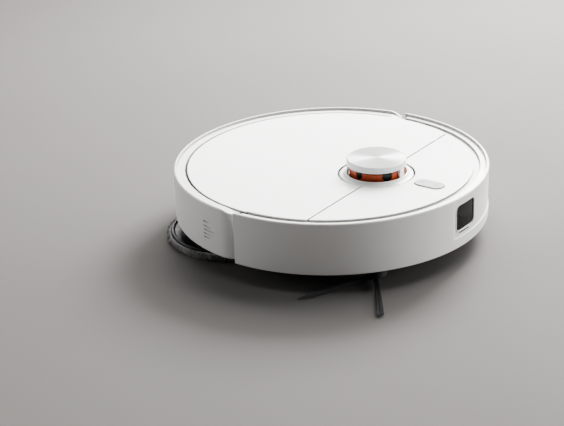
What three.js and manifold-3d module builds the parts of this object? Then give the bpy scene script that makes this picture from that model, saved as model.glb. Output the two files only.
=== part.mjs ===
// Round robot vacuum with a laser turret, two spinning mop pads, a roller brush and a side brush.
// Millimetres. +Z is up, -Y is the front and +X is the machine's left. The origin is on the floor
// under the middle of the round body.
import * as THREE from 'three';
import { mergeVertices } from 'three/addons/utils/BufferGeometryUtils.js';
import Module from 'manifold-3d';

const wasm = await Module();
wasm.setup();

// ---------------------------------------------------------------- driving dimensions
const FIT = 0.3; // gap between pieces that are fixed to each other
const RUN = 0.6; // gap round a piece that turns or slides

const BODY_R = 175; // round body, outside
const SHELL_T = 2.5; // wall of the shells
const UNDERSIDE_Z = 12; // ground clearance of the chassis
const BASE_T = 2.5; // chassis plate
const BASE_INSET = 7; // the chassis edge lies this far inside the shells
const BASE_TAPER = 18; // width of its raised border
const BASE_EDGE_Z = 23;
const BASE_TOP_Z = 26.2;
const BASE_RIM_T = 4.5;
const BUMPER_Z = 24; // lower edge of the bumper
const LID_Z = 79; // top of the lids
const LID_T = 3;
const RIM_RISE = 2.5; // crest of the rim over the lids
const RIM_STEP = 0.4; // and its inner edge
const RIM_SLOPE = 3; // width of the slope between them
const RIM_W = 10;
const REAR_RIM_W = 12.5;
const EDGE_R = 3.5; // outer rounding of the rim
const LID_GAP = 1; // round the rear lid
const CHANNEL_W = 5; // between the front cover and the bumper's rim
const DECK_T = 2.5;
const SEAM_W = 0.8; // cross seam between the two lids
const BUMP_TRAVEL = 4;
const SHELL_START_DEG = 3; // the rear shell starts this far behind the bumper's ends
const RIM_START_DEG = 7.4; // and its rim this far

const TURRET_Y = -59.5;
const SEAM_Y = -66; // the seam passes a little ahead of the turret's middle
const TURRET_R = 32.6;
const TURRET_TOP_Z = 97;
const CAP_T = 7;
const ROTOR_R = 29.6;
const MOAT_R = 40.4;
const POT_Z = 60;
const POT_T = 2;
const CAP_TRAVEL = 1.5;
const POST_DEG = [1, 147, 213];
const POST_W = 8;
const POST_T = 2;
const EMITTER = { r: 6.2, deg: -35 };
const RECEIVER = { r: 4.4, deg: -97 };

const BUTTON_INSET = 34; // middle of the button, from the cover's front edge
const BUTTON_L = 33.6;
const BUTTON_W = 17;
const BUTTON_T = 2;

const WINDOW_X = -6;
const WINDOW_W = 35;
const WINDOW_H = 28.5;
const WINDOW_Z = 57.5;
const WINDOW_CORNER_R = 5;
const WINDOW_T = 1.5;

const WHEEL_R = 33;
const WHEEL_W = 17;
const WHEEL_INSET = 31; // middle of the tyre, from the cassette's inner wall
const WHEEL_Y = -12;
const TYRE_T = 6;
const PIVOT_Y = -46;
const PIVOT_Z = 40;
const PIN_R = 2.5;
const CASSETTE_T = 2;
const CASSETTE_TOP_Z = 70;

const CASTER_INSET = 32; // from the body's front edge
const CASTER_R = 7.5;
const CASTER_W = 10;
const CASTER_TRAIL = 3;

const ROLLER_R = 18;
const ROLLER_CORE_R = 9;
const ROLLER_L = 152;
const ROLLER_Y = -38;
const ROLLER_Z = 24;
const ROLLER_VANES = 6;
const END_ROOM = 15; // from the roller's end to the wheel cassette

const SIDE_X = -87;
const SIDE_Y = -112;
const SIDE_ARM_L = 83.4;
const SIDE_ARM_DEG = [154.8, 214.8];
const SIDE_ARM_W = 8;

const MOP_R = 74;
const MOP_X = 76;
const MOP_Y = 84;
const PAD_T = 7;
const PLATE_T = 4.7;
const MOP_LIFT = 10;
const BAY_GAP = 3.5;

const BIN_W = 140;
const BIN_Y0 = -17;
const BIN_Y1 = 46;
const BIN_STEP_Y = -8; // the bin is deeper behind this line
const BIN_Z = 32;
const BIN_STEP_Z = 52;
const BIN_WALL = 1.8;

const BATTERY = { w: 116, h: 38, y: 115 };
const BATTERY_INSET = 24; // from the body's back edge
const FAN_Y = 75;
const FAN_R = 24;
const CONTACT_X = 30;
const CLIFF_INSET = 34.6; // from the body's edge
const CLIFF_DEG = 17.4; // to each side of the front

// ---------------------------------------------------------------- values worked out from them
const RIM_Z = LID_Z + RIM_RISE;
const DECK_Z = LID_Z - LID_T - FIT;
const RIM_IN_R = BODY_R - RIM_W;
const REAR_RIM_IN_R = BODY_R - REAR_RIM_W;
const LID_R = REAR_RIM_IN_R - LID_GAP;
const COVER_R = RIM_IN_R - CHANNEL_W;
const SHELL_IN_R = BODY_R - SHELL_T;
const FRONT_WALL_R = SHELL_IN_R - BUMP_TRAVEL - SHELL_T;
const SHELL_Z = BASE_TOP_Z + FIT;
const PLATE_Z = UNDERSIDE_Z + BASE_T;
const BAY_R = MOP_R + BAY_GAP;
const BAY_ROOF_Z = BASE_TOP_Z - 2;
const SHELL_START_Y = BODY_R * Math.sin(THREE.MathUtils.degToRad(SHELL_START_DEG));
const RIM_START_Y = BODY_R * Math.sin(THREE.MathUtils.degToRad(RIM_START_DEG));
const BASE_EDGE_R = BODY_R - BASE_INSET;
const BASE_FLAT_R = BASE_EDGE_R - BASE_TAPER;
const BUTTON_Y = BUTTON_INSET - COVER_R;
const CASTER_Y = CASTER_INSET - BODY_R;
const CASSETTE_X0 = ROLLER_L / 2 + END_ROOM;
const WHEEL_X = CASSETTE_X0 + WHEEL_INSET;
const CASSETTE_X1 = WHEEL_X + WHEEL_W / 2 + 3.5;
const CASSETTE_Y0 = PIVOT_Y - 12;
const CASSETTE_Y1 = WHEEL_Y + WHEEL_R + 5;
const BIN_TOP_Z = DECK_Z - 3;
const ROUND = 48; // sides of the large rounds
const FAR = 400; // longer than the whole machine, for cutting tools

// ---------------------------------------------------------------- materials
function paint(color, roughness, metalness = 0) {
  return new THREE.MeshStandardMaterial({ color, roughness, metalness });
}

// ---------------------------------------------------------------- solids
function solid(geometry) {
  geometry.deleteAttribute('normal');
  geometry.deleteAttribute('uv');
  const merged = mergeVertices(geometry, 1e-4);
  const index = merged.index.array;
  const at = merged.attributes.position;
  const corner = [new THREE.Vector3(), new THREE.Vector3(), new THREE.Vector3()];
  const kept = [];
  let volume = 0;
  for (let i = 0; i < index.length; i += 3) {
    const [a, b, c] = index.slice(i, i + 3);
    if (a === b || b === c || c === a) continue;
    kept.push(a, b, c);
    [a, b, c].forEach((v, k) => corner[k].fromBufferAttribute(at, v));
    volume += corner[0].dot(corner[1].cross(corner[2]));
  }
  if (volume < 0) kept.reverse();
  return new wasm.Manifold(new wasm.Mesh({
    numProp: 3,
    vertProperties: Float32Array.from(at.array),
    triVerts: Uint32Array.from(kept),
  }));
}

function box(x0, x1, y0, y1, z0, z1) {
  const shape = new THREE.BoxGeometry(x1 - x0, y1 - y0, z1 - z0);
  return solid(shape.translate((x0 + x1) / 2, (y0 + y1) / 2, (z0 + z1) / 2));
}

// a profile of [radius, height] points turned about Z
function revolve(points, segments = ROUND) {
  const closed = points[0][0] < 1e-6 && points.at(-1)[0] < 1e-6 ? points : [...points, points[0]];
  const profile = closed.map(([r, z]) => new THREE.Vector2(Math.max(r, 0), z));
  return solid(new THREE.LatheGeometry(profile, segments).rotateX(Math.PI / 2));
}

function disc(r, z0, z1, segments = 48) {
  return revolve([[0, z0], [r, z0], [r, z1], [0, z1]], segments);
}

function ring(inner, outer, z0, z1, segments = ROUND) {
  return revolve([[inner, z0], [outer, z0], [outer, z1], [inner, z1]], segments);
}

// a rod along X
function rod(r, x0, x1, y, z, segments = 24) {
  return disc(r, x0, x1, segments).rotate([0, 90, 0]).translate([0, y, z]);
}

function extrude(shape, z0, z1, curveSegments = 8) {
  const settings = { depth: z1 - z0, bevelEnabled: false, curveSegments };
  return solid(new THREE.ExtrudeGeometry(shape, settings).translate(0, 0, z0));
}

function roundedRect(w, h, r) {
  const shape = new THREE.Shape();
  shape.moveTo(-w / 2 + r, -h / 2);
  shape.lineTo(w / 2 - r, -h / 2);
  shape.absarc(w / 2 - r, -h / 2 + r, r, -Math.PI / 2, 0);
  shape.lineTo(w / 2, h / 2 - r);
  shape.absarc(w / 2 - r, h / 2 - r, r, 0, Math.PI / 2);
  shape.lineTo(-w / 2 + r, h / 2);
  shape.absarc(-w / 2 + r, h / 2 - r, r, Math.PI / 2, Math.PI);
  shape.lineTo(-w / 2, -h / 2 + r);
  shape.absarc(-w / 2 + r, -h / 2 + r, r, Math.PI, Math.PI * 1.5);
  return shape;
}

// an outline of straight lines
function outline(points) {
  return new THREE.Shape(points.map(([x, y]) => new THREE.Vector2(x, y)));
}

// a slab over an outline drawn in Y and Z, between two X positions
function slabX(shape, x0, x1, curveSegments = 12) {
  return extrude(shape, x0, x1, curveSegments).rotate([90, 0, 90]);
}

// points of an arc, in degrees
function arc(cx, cy, r, from, to, steps = 4) {
  return Array.from({ length: steps + 1 }, (_, i) => {
    const a = THREE.MathUtils.degToRad(from + ((to - from) * i) / steps);
    return [cx + r * Math.cos(a), cy + r * Math.sin(a)];
  });
}

function union(...parts) {
  return parts.reduce((whole, part) => whole.add(part));
}

function cut(body, ...tools) {
  return tools.reduce((left, tool) => left.subtract(tool), body);
}

const vacuum = new THREE.Group();
vacuum.name = 'robot_vacuum';

function place(name, body, material, parent = vacuum) {
  const data = body.simplify(0.01).getMesh();
  const geometry = new THREE.BufferGeometry();
  geometry.setAttribute('position', new THREE.BufferAttribute(data.vertProperties, data.numProp));
  geometry.setIndex(new THREE.BufferAttribute(data.triVerts, 1));
  geometry.computeVertexNormals();
  const mesh = new THREE.Mesh(geometry, material);
  mesh.name = name;
  parent.add(mesh);
  return mesh;
}

const SIDES = [['left', 1], ['right', -1]];

// mirrors a solid that is drawn for the left side
function onSide(body, side) {
  return side > 0 ? body : body.mirror([1, 0, 0]);
}

// ---------------------------------------------------------------- chassis
function mopBays(r, z0, z1) {
  return union(...SIDES.map(([, s]) => disc(r, z0, z1, r > 20 ? 36 : 12).translate([s * MOP_X, MOP_Y, 0])));
}

function cassetteBox(gap, z0, z1) {
  const body = box(CASSETTE_X0 - gap, CASSETTE_X1 + gap, CASSETTE_Y0 - gap, CASSETTE_Y1 + gap, z0, z1);
  return union(body, body.mirror([1, 0, 0]));
}

// the tunnel round the roller, open at the floor
function rollerTunnel(r, halfLength, z0) {
  const tunnel = new THREE.Shape();
  tunnel.moveTo(ROLLER_Y - r, z0);
  tunnel.lineTo(ROLLER_Y + r, z0);
  tunnel.lineTo(ROLLER_Y + r, ROLLER_Z);
  tunnel.absarc(ROLLER_Y, ROLLER_Z, r, 0, Math.PI, false);
  return slabX(tunnel, -halfLength, halfLength, 10);
}

const TUNNEL_R = ROLLER_R + 2.5;
const TUNNEL_HALF = ROLLER_L / 2 + 8;
const TUNNEL_T = 2;
const GUARD_Z = 9.5;
const GUARD_EDGE = 7;
const GUARD_SIDE = 4;
const LATCH_TRAVEL = 2;

// the room inside the chassis pan and its walls, less a gap
function panSpace(gap, z1) {
  return revolve([
    [0, PLATE_Z + gap], [BASE_FLAT_R - 1 - gap, PLATE_Z + gap],
    [BASE_EDGE_R - BASE_RIM_T - gap, BASE_EDGE_Z + 0.5 + gap],
    [BASE_EDGE_R - BASE_RIM_T - gap, z1], [0, z1],
  ]);
}

function chassisBase() {
  const envelope = revolve([
    [0, UNDERSIDE_Z], [BASE_FLAT_R, UNDERSIDE_Z], [BASE_EDGE_R, BASE_EDGE_Z],
    [BASE_EDGE_R, BASE_TOP_Z], [0, BASE_TOP_Z],
  ]);
  const hollow = panSpace(0, BASE_TOP_Z + 1);
  const bays = mopBays(BAY_R + 2, UNDERSIDE_Z, BASE_TOP_Z).intersect(envelope);
  const casterHousing = disc(16, UNDERSIDE_Z, 25, 32).translate([0, CASTER_Y, 0]).intersect(envelope);
  const tunnel = rollerTunnel(TUNNEL_R + TUNNEL_T, TUNNEL_HALF + TUNNEL_T, UNDERSIDE_Z);
  const pan = union(cut(envelope, hollow), bays, casterHousing, tunnel);
  const outlet = box(-45, 45, ROLLER_Y, ROLLER_Y + TUNNEL_R + 10, ROLLER_Z + 6, ROLLER_Z + 14);
  const spindleHoles = mopBays(9, UNDERSIDE_Z, BASE_TOP_Z + 1);
  const guardSeat = box(-TUNNEL_HALF - GUARD_SIDE, TUNNEL_HALF + GUARD_SIDE,
    ROLLER_Y - TUNNEL_R - GUARD_EDGE, ROLLER_Y + TUNNEL_R + GUARD_EDGE, 0, UNDERSIDE_Z + 1);
  const sidePocket = disc(15, 0, UNDERSIDE_Z + 1, 32).translate([SIDE_X, SIDE_Y, 0]);
  const sideHole = disc(6, 0, PLATE_Z + 1, 24).translate([SIDE_X, SIDE_Y, 0]);
  const casterPocket = disc(13, 0, 20.5, 32).translate([0, CASTER_Y, 0]);
  const casterHole = disc(4, 0, BASE_TOP_Z + 1, 24).translate([0, CASTER_Y, 0]);
  const cliffPockets = SIDES.map(([, s]) => box(-8.3, 8.3, -3.8, 3.8, 0, UNDERSIDE_Z + 1.3)
    .translate([0, CLIFF_INSET - BODY_R, 0]).rotate([0, 0, s * CLIFF_DEG]));
  const gearboxHole = rod(7, TUNNEL_HALF - 1, TUNNEL_HALF + TUNNEL_T + 1, ROLLER_Y, ROLLER_Z);
  const capSeat = rod(7, -TUNNEL_HALF - TUNNEL_T - 1, -TUNNEL_HALF + 1, ROLLER_Y, ROLLER_Z);
  return cut(pan, mopBays(BAY_R, 0, BAY_ROOF_Z), spindleHoles, cassetteBox(FIT, 0, FAR),
    rollerTunnel(TUNNEL_R, TUNNEL_HALF, 0), outlet, guardSeat, sidePocket, sideHole,
    casterPocket, casterHole, gearboxHole, capSeat, ...cliffPockets);
}

place('chassis_base', chassisBase(), paint(0x1b1c1e, 0.6));

// ---------------------------------------------------------------- upper housing
const CAMERA_W = 30;
const WELL_T = 2;
const SPEAKER_DEG = 13.4; // behind the machine's right side
const SLOT_Z = [59, 53.5, 48.6, 43.7, 40.5];
const SLOT_SPAN = [3.2, 4.3, 5.7, 5.1, 3.4];
const SLOT_H = 1.6;

// the upper part of both shells: an outer rounding, a flat crest and a slope down to the lids
function rimProfile(innerR, innerZ) {
  const step = LID_Z + RIM_STEP;
  return [
    ...arc(BODY_R - EDGE_R, RIM_Z - EDGE_R, EDGE_R, 0, 90, 3),
    [innerR + RIM_SLOPE, RIM_Z], [innerR, step], [innerR, innerZ], [innerR + SHELL_T, innerZ],
    [innerR + SHELL_T, step - SHELL_T], [BODY_R - EDGE_R, RIM_Z - SHELL_T],
    [SHELL_IN_R, RIM_Z - EDGE_R],
  ];
}

function speakerSlots() {
  return SLOT_Z.map((z, i) => {
    const length = BODY_R * THREE.MathUtils.degToRad(SLOT_SPAN[i]);
    return box(-BODY_R - 3, -BODY_R + 8, -length / 2, length / 2, z - SLOT_H / 2, z + SLOT_H / 2)
      .rotate([0, 0, -SPEAKER_DEG]);
  });
}

function wellWalls(gap) {
  const out = RUN + WELL_T + gap;
  return union(
    box(-BIN_W / 2 - out, BIN_W / 2 + out, BIN_STEP_Y - out, BIN_Y1 + out, BIN_Z - out, DECK_Z),
    box(-BIN_W / 2 - out, BIN_W / 2 + out, BIN_Y0 - out, BIN_STEP_Y, BIN_STEP_Z - out, DECK_Z),
  );
}

function wellSpace() {
  const gap = RUN;
  return union(
    box(-BIN_W / 2 - gap, BIN_W / 2 + gap, BIN_STEP_Y - gap, BIN_Y1 + gap, BIN_Z - gap, FAR),
    box(-BIN_W / 2 - gap, BIN_W / 2 + gap, BIN_Y0 - gap, BIN_STEP_Y, BIN_STEP_Z - gap, FAR),
  );
}

function upperHousing() {
  const behind = box(-FAR, FAR, SHELL_START_Y, FAR, 0, DECK_Z);
  const behindRim = box(-FAR, FAR, RIM_START_Y, FAR, DECK_Z - 1, FAR);
  const profile = [
    [SHELL_IN_R, SHELL_Z], [BODY_R, SHELL_Z], ...rimProfile(REAR_RIM_IN_R, DECK_Z - DECK_T),
  ];
  const shell = revolve(profile).intersect(union(behind, behindRim));
  const foot = ring(BASE_EDGE_R - BASE_RIM_T, BODY_R - 1, SHELL_Z, SHELL_Z + 2).intersect(behind);
  const frontWall = ring(FRONT_WALL_R - SHELL_T, FRONT_WALL_R, SHELL_Z, DECK_Z)
    .intersect(box(-FAR, FAR, -FAR, SHELL_START_Y + SHELL_T, 0, FAR));
  const returns = ring(FRONT_WALL_R - SHELL_T, SHELL_IN_R + 0.5, SHELL_Z, DECK_Z)
    .intersect(box(-FAR, FAR, SHELL_START_Y, SHELL_START_Y + SHELL_T, 0, FAR));
  const deck = disc(FRONT_WALL_R, DECK_Z - DECK_T, DECK_Z, ROUND);
  const whole = union(shell, foot, frontWall, returns, deck);
  const cameraGap = box(WINDOW_X - CAMERA_W / 2, WINDOW_X + CAMERA_W / 2, -FAR, -FRONT_WALL_R + 20,
    WINDOW_Z - 15, WINDOW_Z + 13);
  const buttonGap = extrude(roundedRect(BUTTON_W + 2, BUTTON_L + 2, BUTTON_W / 2 + 0.9), 0, FAR)
    .translate([0, BUTTON_Y, 0]);
  const turretGap = disc(ROTOR_R + 3.6 + POT_T + FIT, POT_Z - 1, FAR).translate([0, TURRET_Y, 0]);
  const contacts = SIDES.map(([, s]) => box(s * CONTACT_X - 5.3, s * CONTACT_X + 5.3,
    BODY_R - 8, FAR, 36 - FIT, 52 + FIT));
  return cut(whole, wellWalls(FIT), cameraGap, buttonGap, turretGap, ...speakerSlots(), ...contacts);
}

// the room that the dust bin lifts out of
function binWell() {
  const inlet = box(-44, 44, BIN_STEP_Y - 10, BIN_STEP_Y + 1, BIN_Z + 2, BIN_Z + 16);
  const airOut = box(-30, 30, BIN_Y1, BIN_Y1 + 6, BIN_Z + 8, BIN_Z + 30);
  return cut(wellWalls(0), wellSpace(), inlet, airOut);
}

place('upper_housing', upperHousing(), paint(0xeceae6, 0.42));
place('bin_well', binWell(), paint(0x26272a, 0.5));

// ---------------------------------------------------------------- lids
const LID_EDGE_R = 1.2;

function lidDisc(r) {
  return revolve([
    [0, LID_Z - LID_T], [r, LID_Z - LID_T],
    ...arc(r - LID_EDGE_R, LID_Z - LID_EDGE_R, LID_EDGE_R, 0, 90, 2), [0, LID_Z],
  ]);
}

function moatHole() {
  return disc(MOAT_R + RUN, 0, FAR, 40).translate([0, TURRET_Y, 0]);
}

function frontCover() {
  const ahead = box(-FAR, FAR, -FAR, SEAM_Y - SEAM_W / 2, 0, FAR);
  const pocket = extrude(roundedRect(BUTTON_W + 2 * RUN, BUTTON_L + 2 * RUN, BUTTON_W / 2 + RUN - 0.05),
    0, FAR).translate([0, BUTTON_Y, 0]);
  return cut(lidDisc(COVER_R).intersect(ahead), moatHole(), pocket);
}

function rearLid() {
  const behind = box(-FAR, FAR, SEAM_Y + SEAM_W / 2, FAR, 0, FAR);
  const nip = ring(COVER_R, BODY_R, 0, FAR).intersect(box(-FAR, FAR, -FAR, 0, 0, FAR));
  return cut(lidDisc(LID_R).intersect(behind), moatHole(), nip);
}

place('front_cover', frontCover(), paint(0xf2f1ee, 0.35));
place('rear_lid', rearLid(), paint(0xf2f1ee, 0.35));

// ---------------------------------------------------------------- bumper and window
// a shallow hollow round the window, which runs on to the machine's left
const RECESS_X = [WINDOW_X - WINDOW_W / 2 - 4, WINDOW_X + WINDOW_W / 2 + 68];
const RECESS_Z = [36, 74];
const RECESS_DEPTH = 0.9;

function bumper() {
  const profile = [
    [SHELL_IN_R, BUMPER_Z], [BODY_R - 0.8, BUMPER_Z], [BODY_R, BUMPER_Z + 0.8],
    ...rimProfile(RIM_IN_R, DECK_Z + RUN),
  ];
  const half = revolve(profile).intersect(box(-FAR, FAR, -FAR, 0, 0, FAR));
  const recess = ring(BODY_R - RECESS_DEPTH, BODY_R + 9, RECESS_Z[0], RECESS_Z[1])
    .intersect(box(...RECESS_X, -FAR, 0, 0, FAR));
  const opening = extrude(roundedRect(WINDOW_W + 2 * FIT, WINDOW_H + 2 * FIT, WINDOW_CORNER_R), -20, 20)
    .rotate([90, 0, 0])
    .translate([WINDOW_X, -BODY_R, WINDOW_Z]);
  return cut(half, recess, opening);
}

function bumperWindow() {
  const y = -SHELL_IN_R + 0.8; // clear of the camera when the bumper is pushed in
  return extrude(roundedRect(WINDOW_W, WINDOW_H, WINDOW_CORNER_R - 0.2), 0, WINDOW_T)
    .rotate([90, 0, 0])
    .translate([WINDOW_X, y, WINDOW_Z]);
}

place('bumper', bumper(), paint(0xeceae6, 0.4));
place('bumper_window', bumperWindow(), paint(0x0b0c0e, 0.12));

// two lenses side by side on a block, with a foot down to the chassis
function frontCamera() {
  const half = 12;
  const depth = 16;
  const [x0, x1] = [WINDOW_X - half, WINDOW_X + half];
  const y = -FRONT_WALL_R + 1;
  const body = box(x0, x1, y, y + depth, WINDOW_Z - 12, WINDOW_Z + 10);
  const lenses = [-5, 5].map((x) => disc(3.4, 0, 2.4, 24)
    .rotate([90, 0, 0])
    .translate([WINDOW_X + x, y, WINDOW_Z]));
  const foot = box(x0, x1, y + 4, y + depth, PLATE_Z + FIT + 12, WINDOW_Z - 11);
  return union(body, foot, ...lenses);
}

place('front_camera', frontCamera(), paint(0x1c1d20, 0.45));

// ---------------------------------------------------------------- laser turret
const POT_R = ROTOR_R + 3.6;
const FLANGE_Z = DECK_Z + FIT;
const POST_R = POT_R - 0.6;
const CAP_Z = TURRET_TOP_Z - CAP_T;
const POT_WALL_TOP = LID_Z + 2.4;
const POT_FLOOR_Z = POT_Z + POT_T;
const SLEEVE_Z = POT_FLOOR_Z + 4; // the cap's sleeve stands in a groove of the pot
const SLEEVE_IN_R = POST_R - POST_T;
const ROTOR_Z = SLEEVE_Z;

// the fixed pot that the rotor turns in, with a flared foot on the lid
function turretBase() {
  const foot = arc(MOAT_R, POT_WALL_TOP, MOAT_R - POT_R - POT_T, 270, 180, 3);
  const pot = revolve([
    [0, POT_Z], [POT_R + POT_T, POT_Z], [POT_R + POT_T, FLANGE_Z], [MOAT_R, FLANGE_Z],
    ...foot.map(([r, z]) => [r, Math.max(z, FLANGE_Z + 1)]), [POT_R, POT_WALL_TOP],
    [POT_R, SLEEVE_Z], [SLEEVE_IN_R - RUN, SLEEVE_Z],
    [SLEEVE_IN_R - RUN, POT_FLOOR_Z], [0, POT_FLOOR_Z],
  ], 32);
  const boss = disc(5, POT_Z, ROTOR_Z - FIT, 24);
  return union(pot, boss);
}

const ROTOR_TOP = CAP_Z - CAP_TRAVEL - RUN;

function lidarRotor() {
  const drum = revolve([
    [0, ROTOR_Z], [ROTOR_R, ROTOR_Z], [ROTOR_R, ROTOR_TOP],
    [ROTOR_R - 3, ROTOR_TOP], [ROTOR_R - 3, CAP_Z - 6], [0, CAP_Z - 6],
  ], 36);
  const holes = [EMITTER, RECEIVER].map(({ r, deg }) => lensBar(r + FIT, r, 8, 2, deg));
  return cut(drum, ...holes);
}

// a round bar from inside the drum out to its skin, at an angle from the front
function lensBar(r, drop, depth, outside, degrees) {
  return disc(r, ROTOR_R - depth, ROTOR_R + outside, 24)
    .rotate([90, 0, 0])
    .translate([0, 0, POT_WALL_TOP + 0.6 + drop])
    .rotate([0, 0, -degrees])
    .mirror([1, 0, 0]);
}

// the window over a lens: it hangs from the drum's top edge and is round below
function lensWindow({ r, deg }) {
  const skin = ring(ROTOR_R - 6, ROTOR_R - 0.2, ROTOR_Z, ROTOR_TOP, 36);
  return lensBar(r, r, 6, 2, deg).intersect(skin);
}

// a turned plate on three posts that rise from a sleeve
function turretCap() {
  const edge = 1.2;
  const plate = revolve([
    [0, CAP_Z + 3], [TURRET_R - 2.5, CAP_Z + 3], [TURRET_R - 2.5, CAP_Z], [TURRET_R - 0.4, CAP_Z],
    [TURRET_R, CAP_Z + 0.4], [TURRET_R, TURRET_TOP_Z - edge],
    ...arc(TURRET_R - edge, TURRET_TOP_Z - edge, edge, 0, 90, 2), [0, TURRET_TOP_Z],
  ], 40);
  const low = SLEEVE_Z + CAP_TRAVEL + FIT;
  const sleeve = ring(SLEEVE_IN_R, POST_R, low, LID_Z - 4, 32);
  const full = ring(SLEEVE_IN_R, POST_R, low, CAP_Z + 1, 32);
  const post = box(-POST_W / 2, POST_W / 2, -POST_R - 1, 1 - SLEEVE_IN_R, 0, FAR);
  const posts = POST_DEG.map((degrees) => post.rotate([0, 0, degrees]));
  return union(plate, sleeve, full.intersect(union(...posts)));
}

const turret = new THREE.Group();
turret.position.y = TURRET_Y;
vacuum.add(turret);
place('turret_base', turretBase(), paint(0xe9e7e3, 0.4), turret);
place('lidar_rotor', lidarRotor(), paint(0xb04a23, 0.3), turret);
place('lidar_emitter_lens', lensWindow(EMITTER), paint(0x0d0b0b, 0.08), turret);
place('lidar_receiver_lens', lensWindow(RECEIVER), paint(0x0d0b0b, 0.08), turret);
place('turret_cap', turretCap(), paint(0xdedddb, 0.3, 0.6), turret);

// ---------------------------------------------------------------- buttons
const BOARD_Z = 64;
const SWITCH_TOP = LID_Z - BUTTON_T - 1;

function powerButton() {
  const outer = roundedRect(BUTTON_W, BUTTON_L, BUTTON_W / 2 - 0.05);
  const pill = extrude(outer, LID_Z - BUTTON_T, LID_Z + 0.3);
  const pivot = box(-5, 5, -1.2, 1.2, SWITCH_TOP + FIT - 2, LID_Z - 1);
  return union(pill, pivot);
}

function buttonBoard() {
  const board = box(-45, 45, -14, 16, BOARD_Z, BOARD_Z + 1.6);
  const switches = [-11, 11].map((y) => box(-3, 3, y - 3, y + 3, BOARD_Z + 1, SWITCH_TOP));
  const pivotPost = box(-5, 5, -2, 2, BOARD_Z + 1, SWITCH_TOP - 2);
  const leg = disc(3, BOARD_Z + 1, DECK_Z - DECK_T - FIT, 12);
  const legs = [-40, 40].map((x) => leg.translate([x, 10, 0]));
  return union(board, pivotPost, ...switches, ...legs);
}

const buttons = new THREE.Group();
buttons.position.y = BUTTON_Y;
vacuum.add(buttons);
place('power_button', powerButton(), paint(0xd9d8d5, 0.4), buttons);
place('button_board', buttonBoard(), paint(0x1f5138, 0.5), buttons);

// ---------------------------------------------------------------- drive wheels
const GEARBOX_X1 = WHEEL_X - WHEEL_W / 2 - 1;
const GEARBOX_X0 = GEARBOX_X1 - 8.5;
const MOTOR_Y = -27;
const MOTOR_Z = 45;
const SHAFT_R = 3;

function wheelCassette() {
  const wall = CASSETTE_T;
  const outer = box(CASSETTE_X0, CASSETTE_X1, CASSETTE_Y0, CASSETTE_Y1, UNDERSIDE_Z, CASSETTE_TOP_Z);
  const flange = box(CASSETTE_X0 - 4, CASSETTE_X1 + 4, CASSETTE_Y0 - 4, CASSETTE_Y1 + 4,
    PLATE_Z + FIT, PLATE_Z + FIT + 2).intersect(panSpace(FIT, FAR));
  const space = box(CASSETTE_X0 + wall, CASSETTE_X1 - wall, CASSETTE_Y0 + wall, CASSETTE_Y1 - wall,
    UNDERSIDE_Z + wall, CASSETTE_TOP_Z - wall);
  const mouth = box(GEARBOX_X0 - 2, CASSETTE_X1 - wall, CASSETTE_Y0 + wall, CASSETTE_Y1 - wall, 0, 30);
  const bay = disc(BAY_R + 2 + FIT, 0, BASE_TOP_Z + FIT, 72).translate([MOP_X, MOP_Y, 0]);
  const pinHole = rod(PIN_R + FIT, CASSETTE_X0 - 1, CASSETTE_X0 + wall + 1, PIVOT_Y, PIVOT_Z, 12);
  return cut(union(outer, flange), space, mouth, bay, pinHole);
}

// a gearbox arm from the pivot to the axle, with its motor
function driveUnit() {
  const side = new THREE.Shape();
  const reach = new THREE.Vector2(WHEEL_Y - PIVOT_Y, WHEEL_R - PIVOT_Z);
  const lean = reach.angle();
  side.absarc(WHEEL_Y, WHEEL_R, 13, lean - Math.PI / 2, lean + Math.PI / 2, false);
  side.absarc(PIVOT_Y, PIVOT_Z, 8, lean + Math.PI / 2, lean + Math.PI * 1.5, false);
  const gearbox = slabX(side, GEARBOX_X0, GEARBOX_X1, 7);
  const motor = rod(11.5, CASSETTE_X0 + CASSETTE_T + 1, GEARBOX_X0 + 1, MOTOR_Y, MOTOR_Z, 18);
  const pinHole = rod(PIN_R + FIT, 0, FAR, PIVOT_Y, PIVOT_Z, 12);
  const shaftHole = rod(SHAFT_R + FIT, GEARBOX_X0 - 1, GEARBOX_X1 + 1, WHEEL_Y, WHEEL_R, 12);
  return cut(union(gearbox, motor), pinHole, shaftHole);
}

function suspensionPin() {
  const pin = rod(PIN_R, CASSETTE_X0 - 1, GEARBOX_X1 + 0.6, PIVOT_Y, PIVOT_Z, 12);
  const head = rod(PIN_R + 2, CASSETTE_X0 - 2.4, CASSETTE_X0 - FIT, PIVOT_Y, PIVOT_Z, 12);
  return union(pin, head);
}

// a torsion spring round the pin, with a straight leg at each end
function suspensionSpring() {
  const wire = 0.8;
  const coil = PIN_R + 2.2;
  const x0 = CASSETTE_X0 + CASSETTE_T + 1.6;
  const turns = 2.5;
  const pitch = 2.1;
  const points = [];
  for (let a = 0; a <= turns * 10; a += 1) {
    const t = (a / 10) * 2 * Math.PI + Math.PI / 2;
    points.push(new THREE.Vector3(x0 + (pitch * a) / 10, coil * Math.cos(t), coil * Math.sin(t)));
  }
  const path = new THREE.CatmullRomCurve3(points);
  const section = new THREE.Shape().absarc(0, 0, wire, 0, Math.PI * 2, false);
  const settings = { steps: 25, extrudePath: path, curveSegments: 3, bevelEnabled: false };
  return solid(new THREE.ExtrudeGeometry(section, settings)).translate([0, PIVOT_Y, PIVOT_Z]);
}

const TREAD_BARS = 16;

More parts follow.
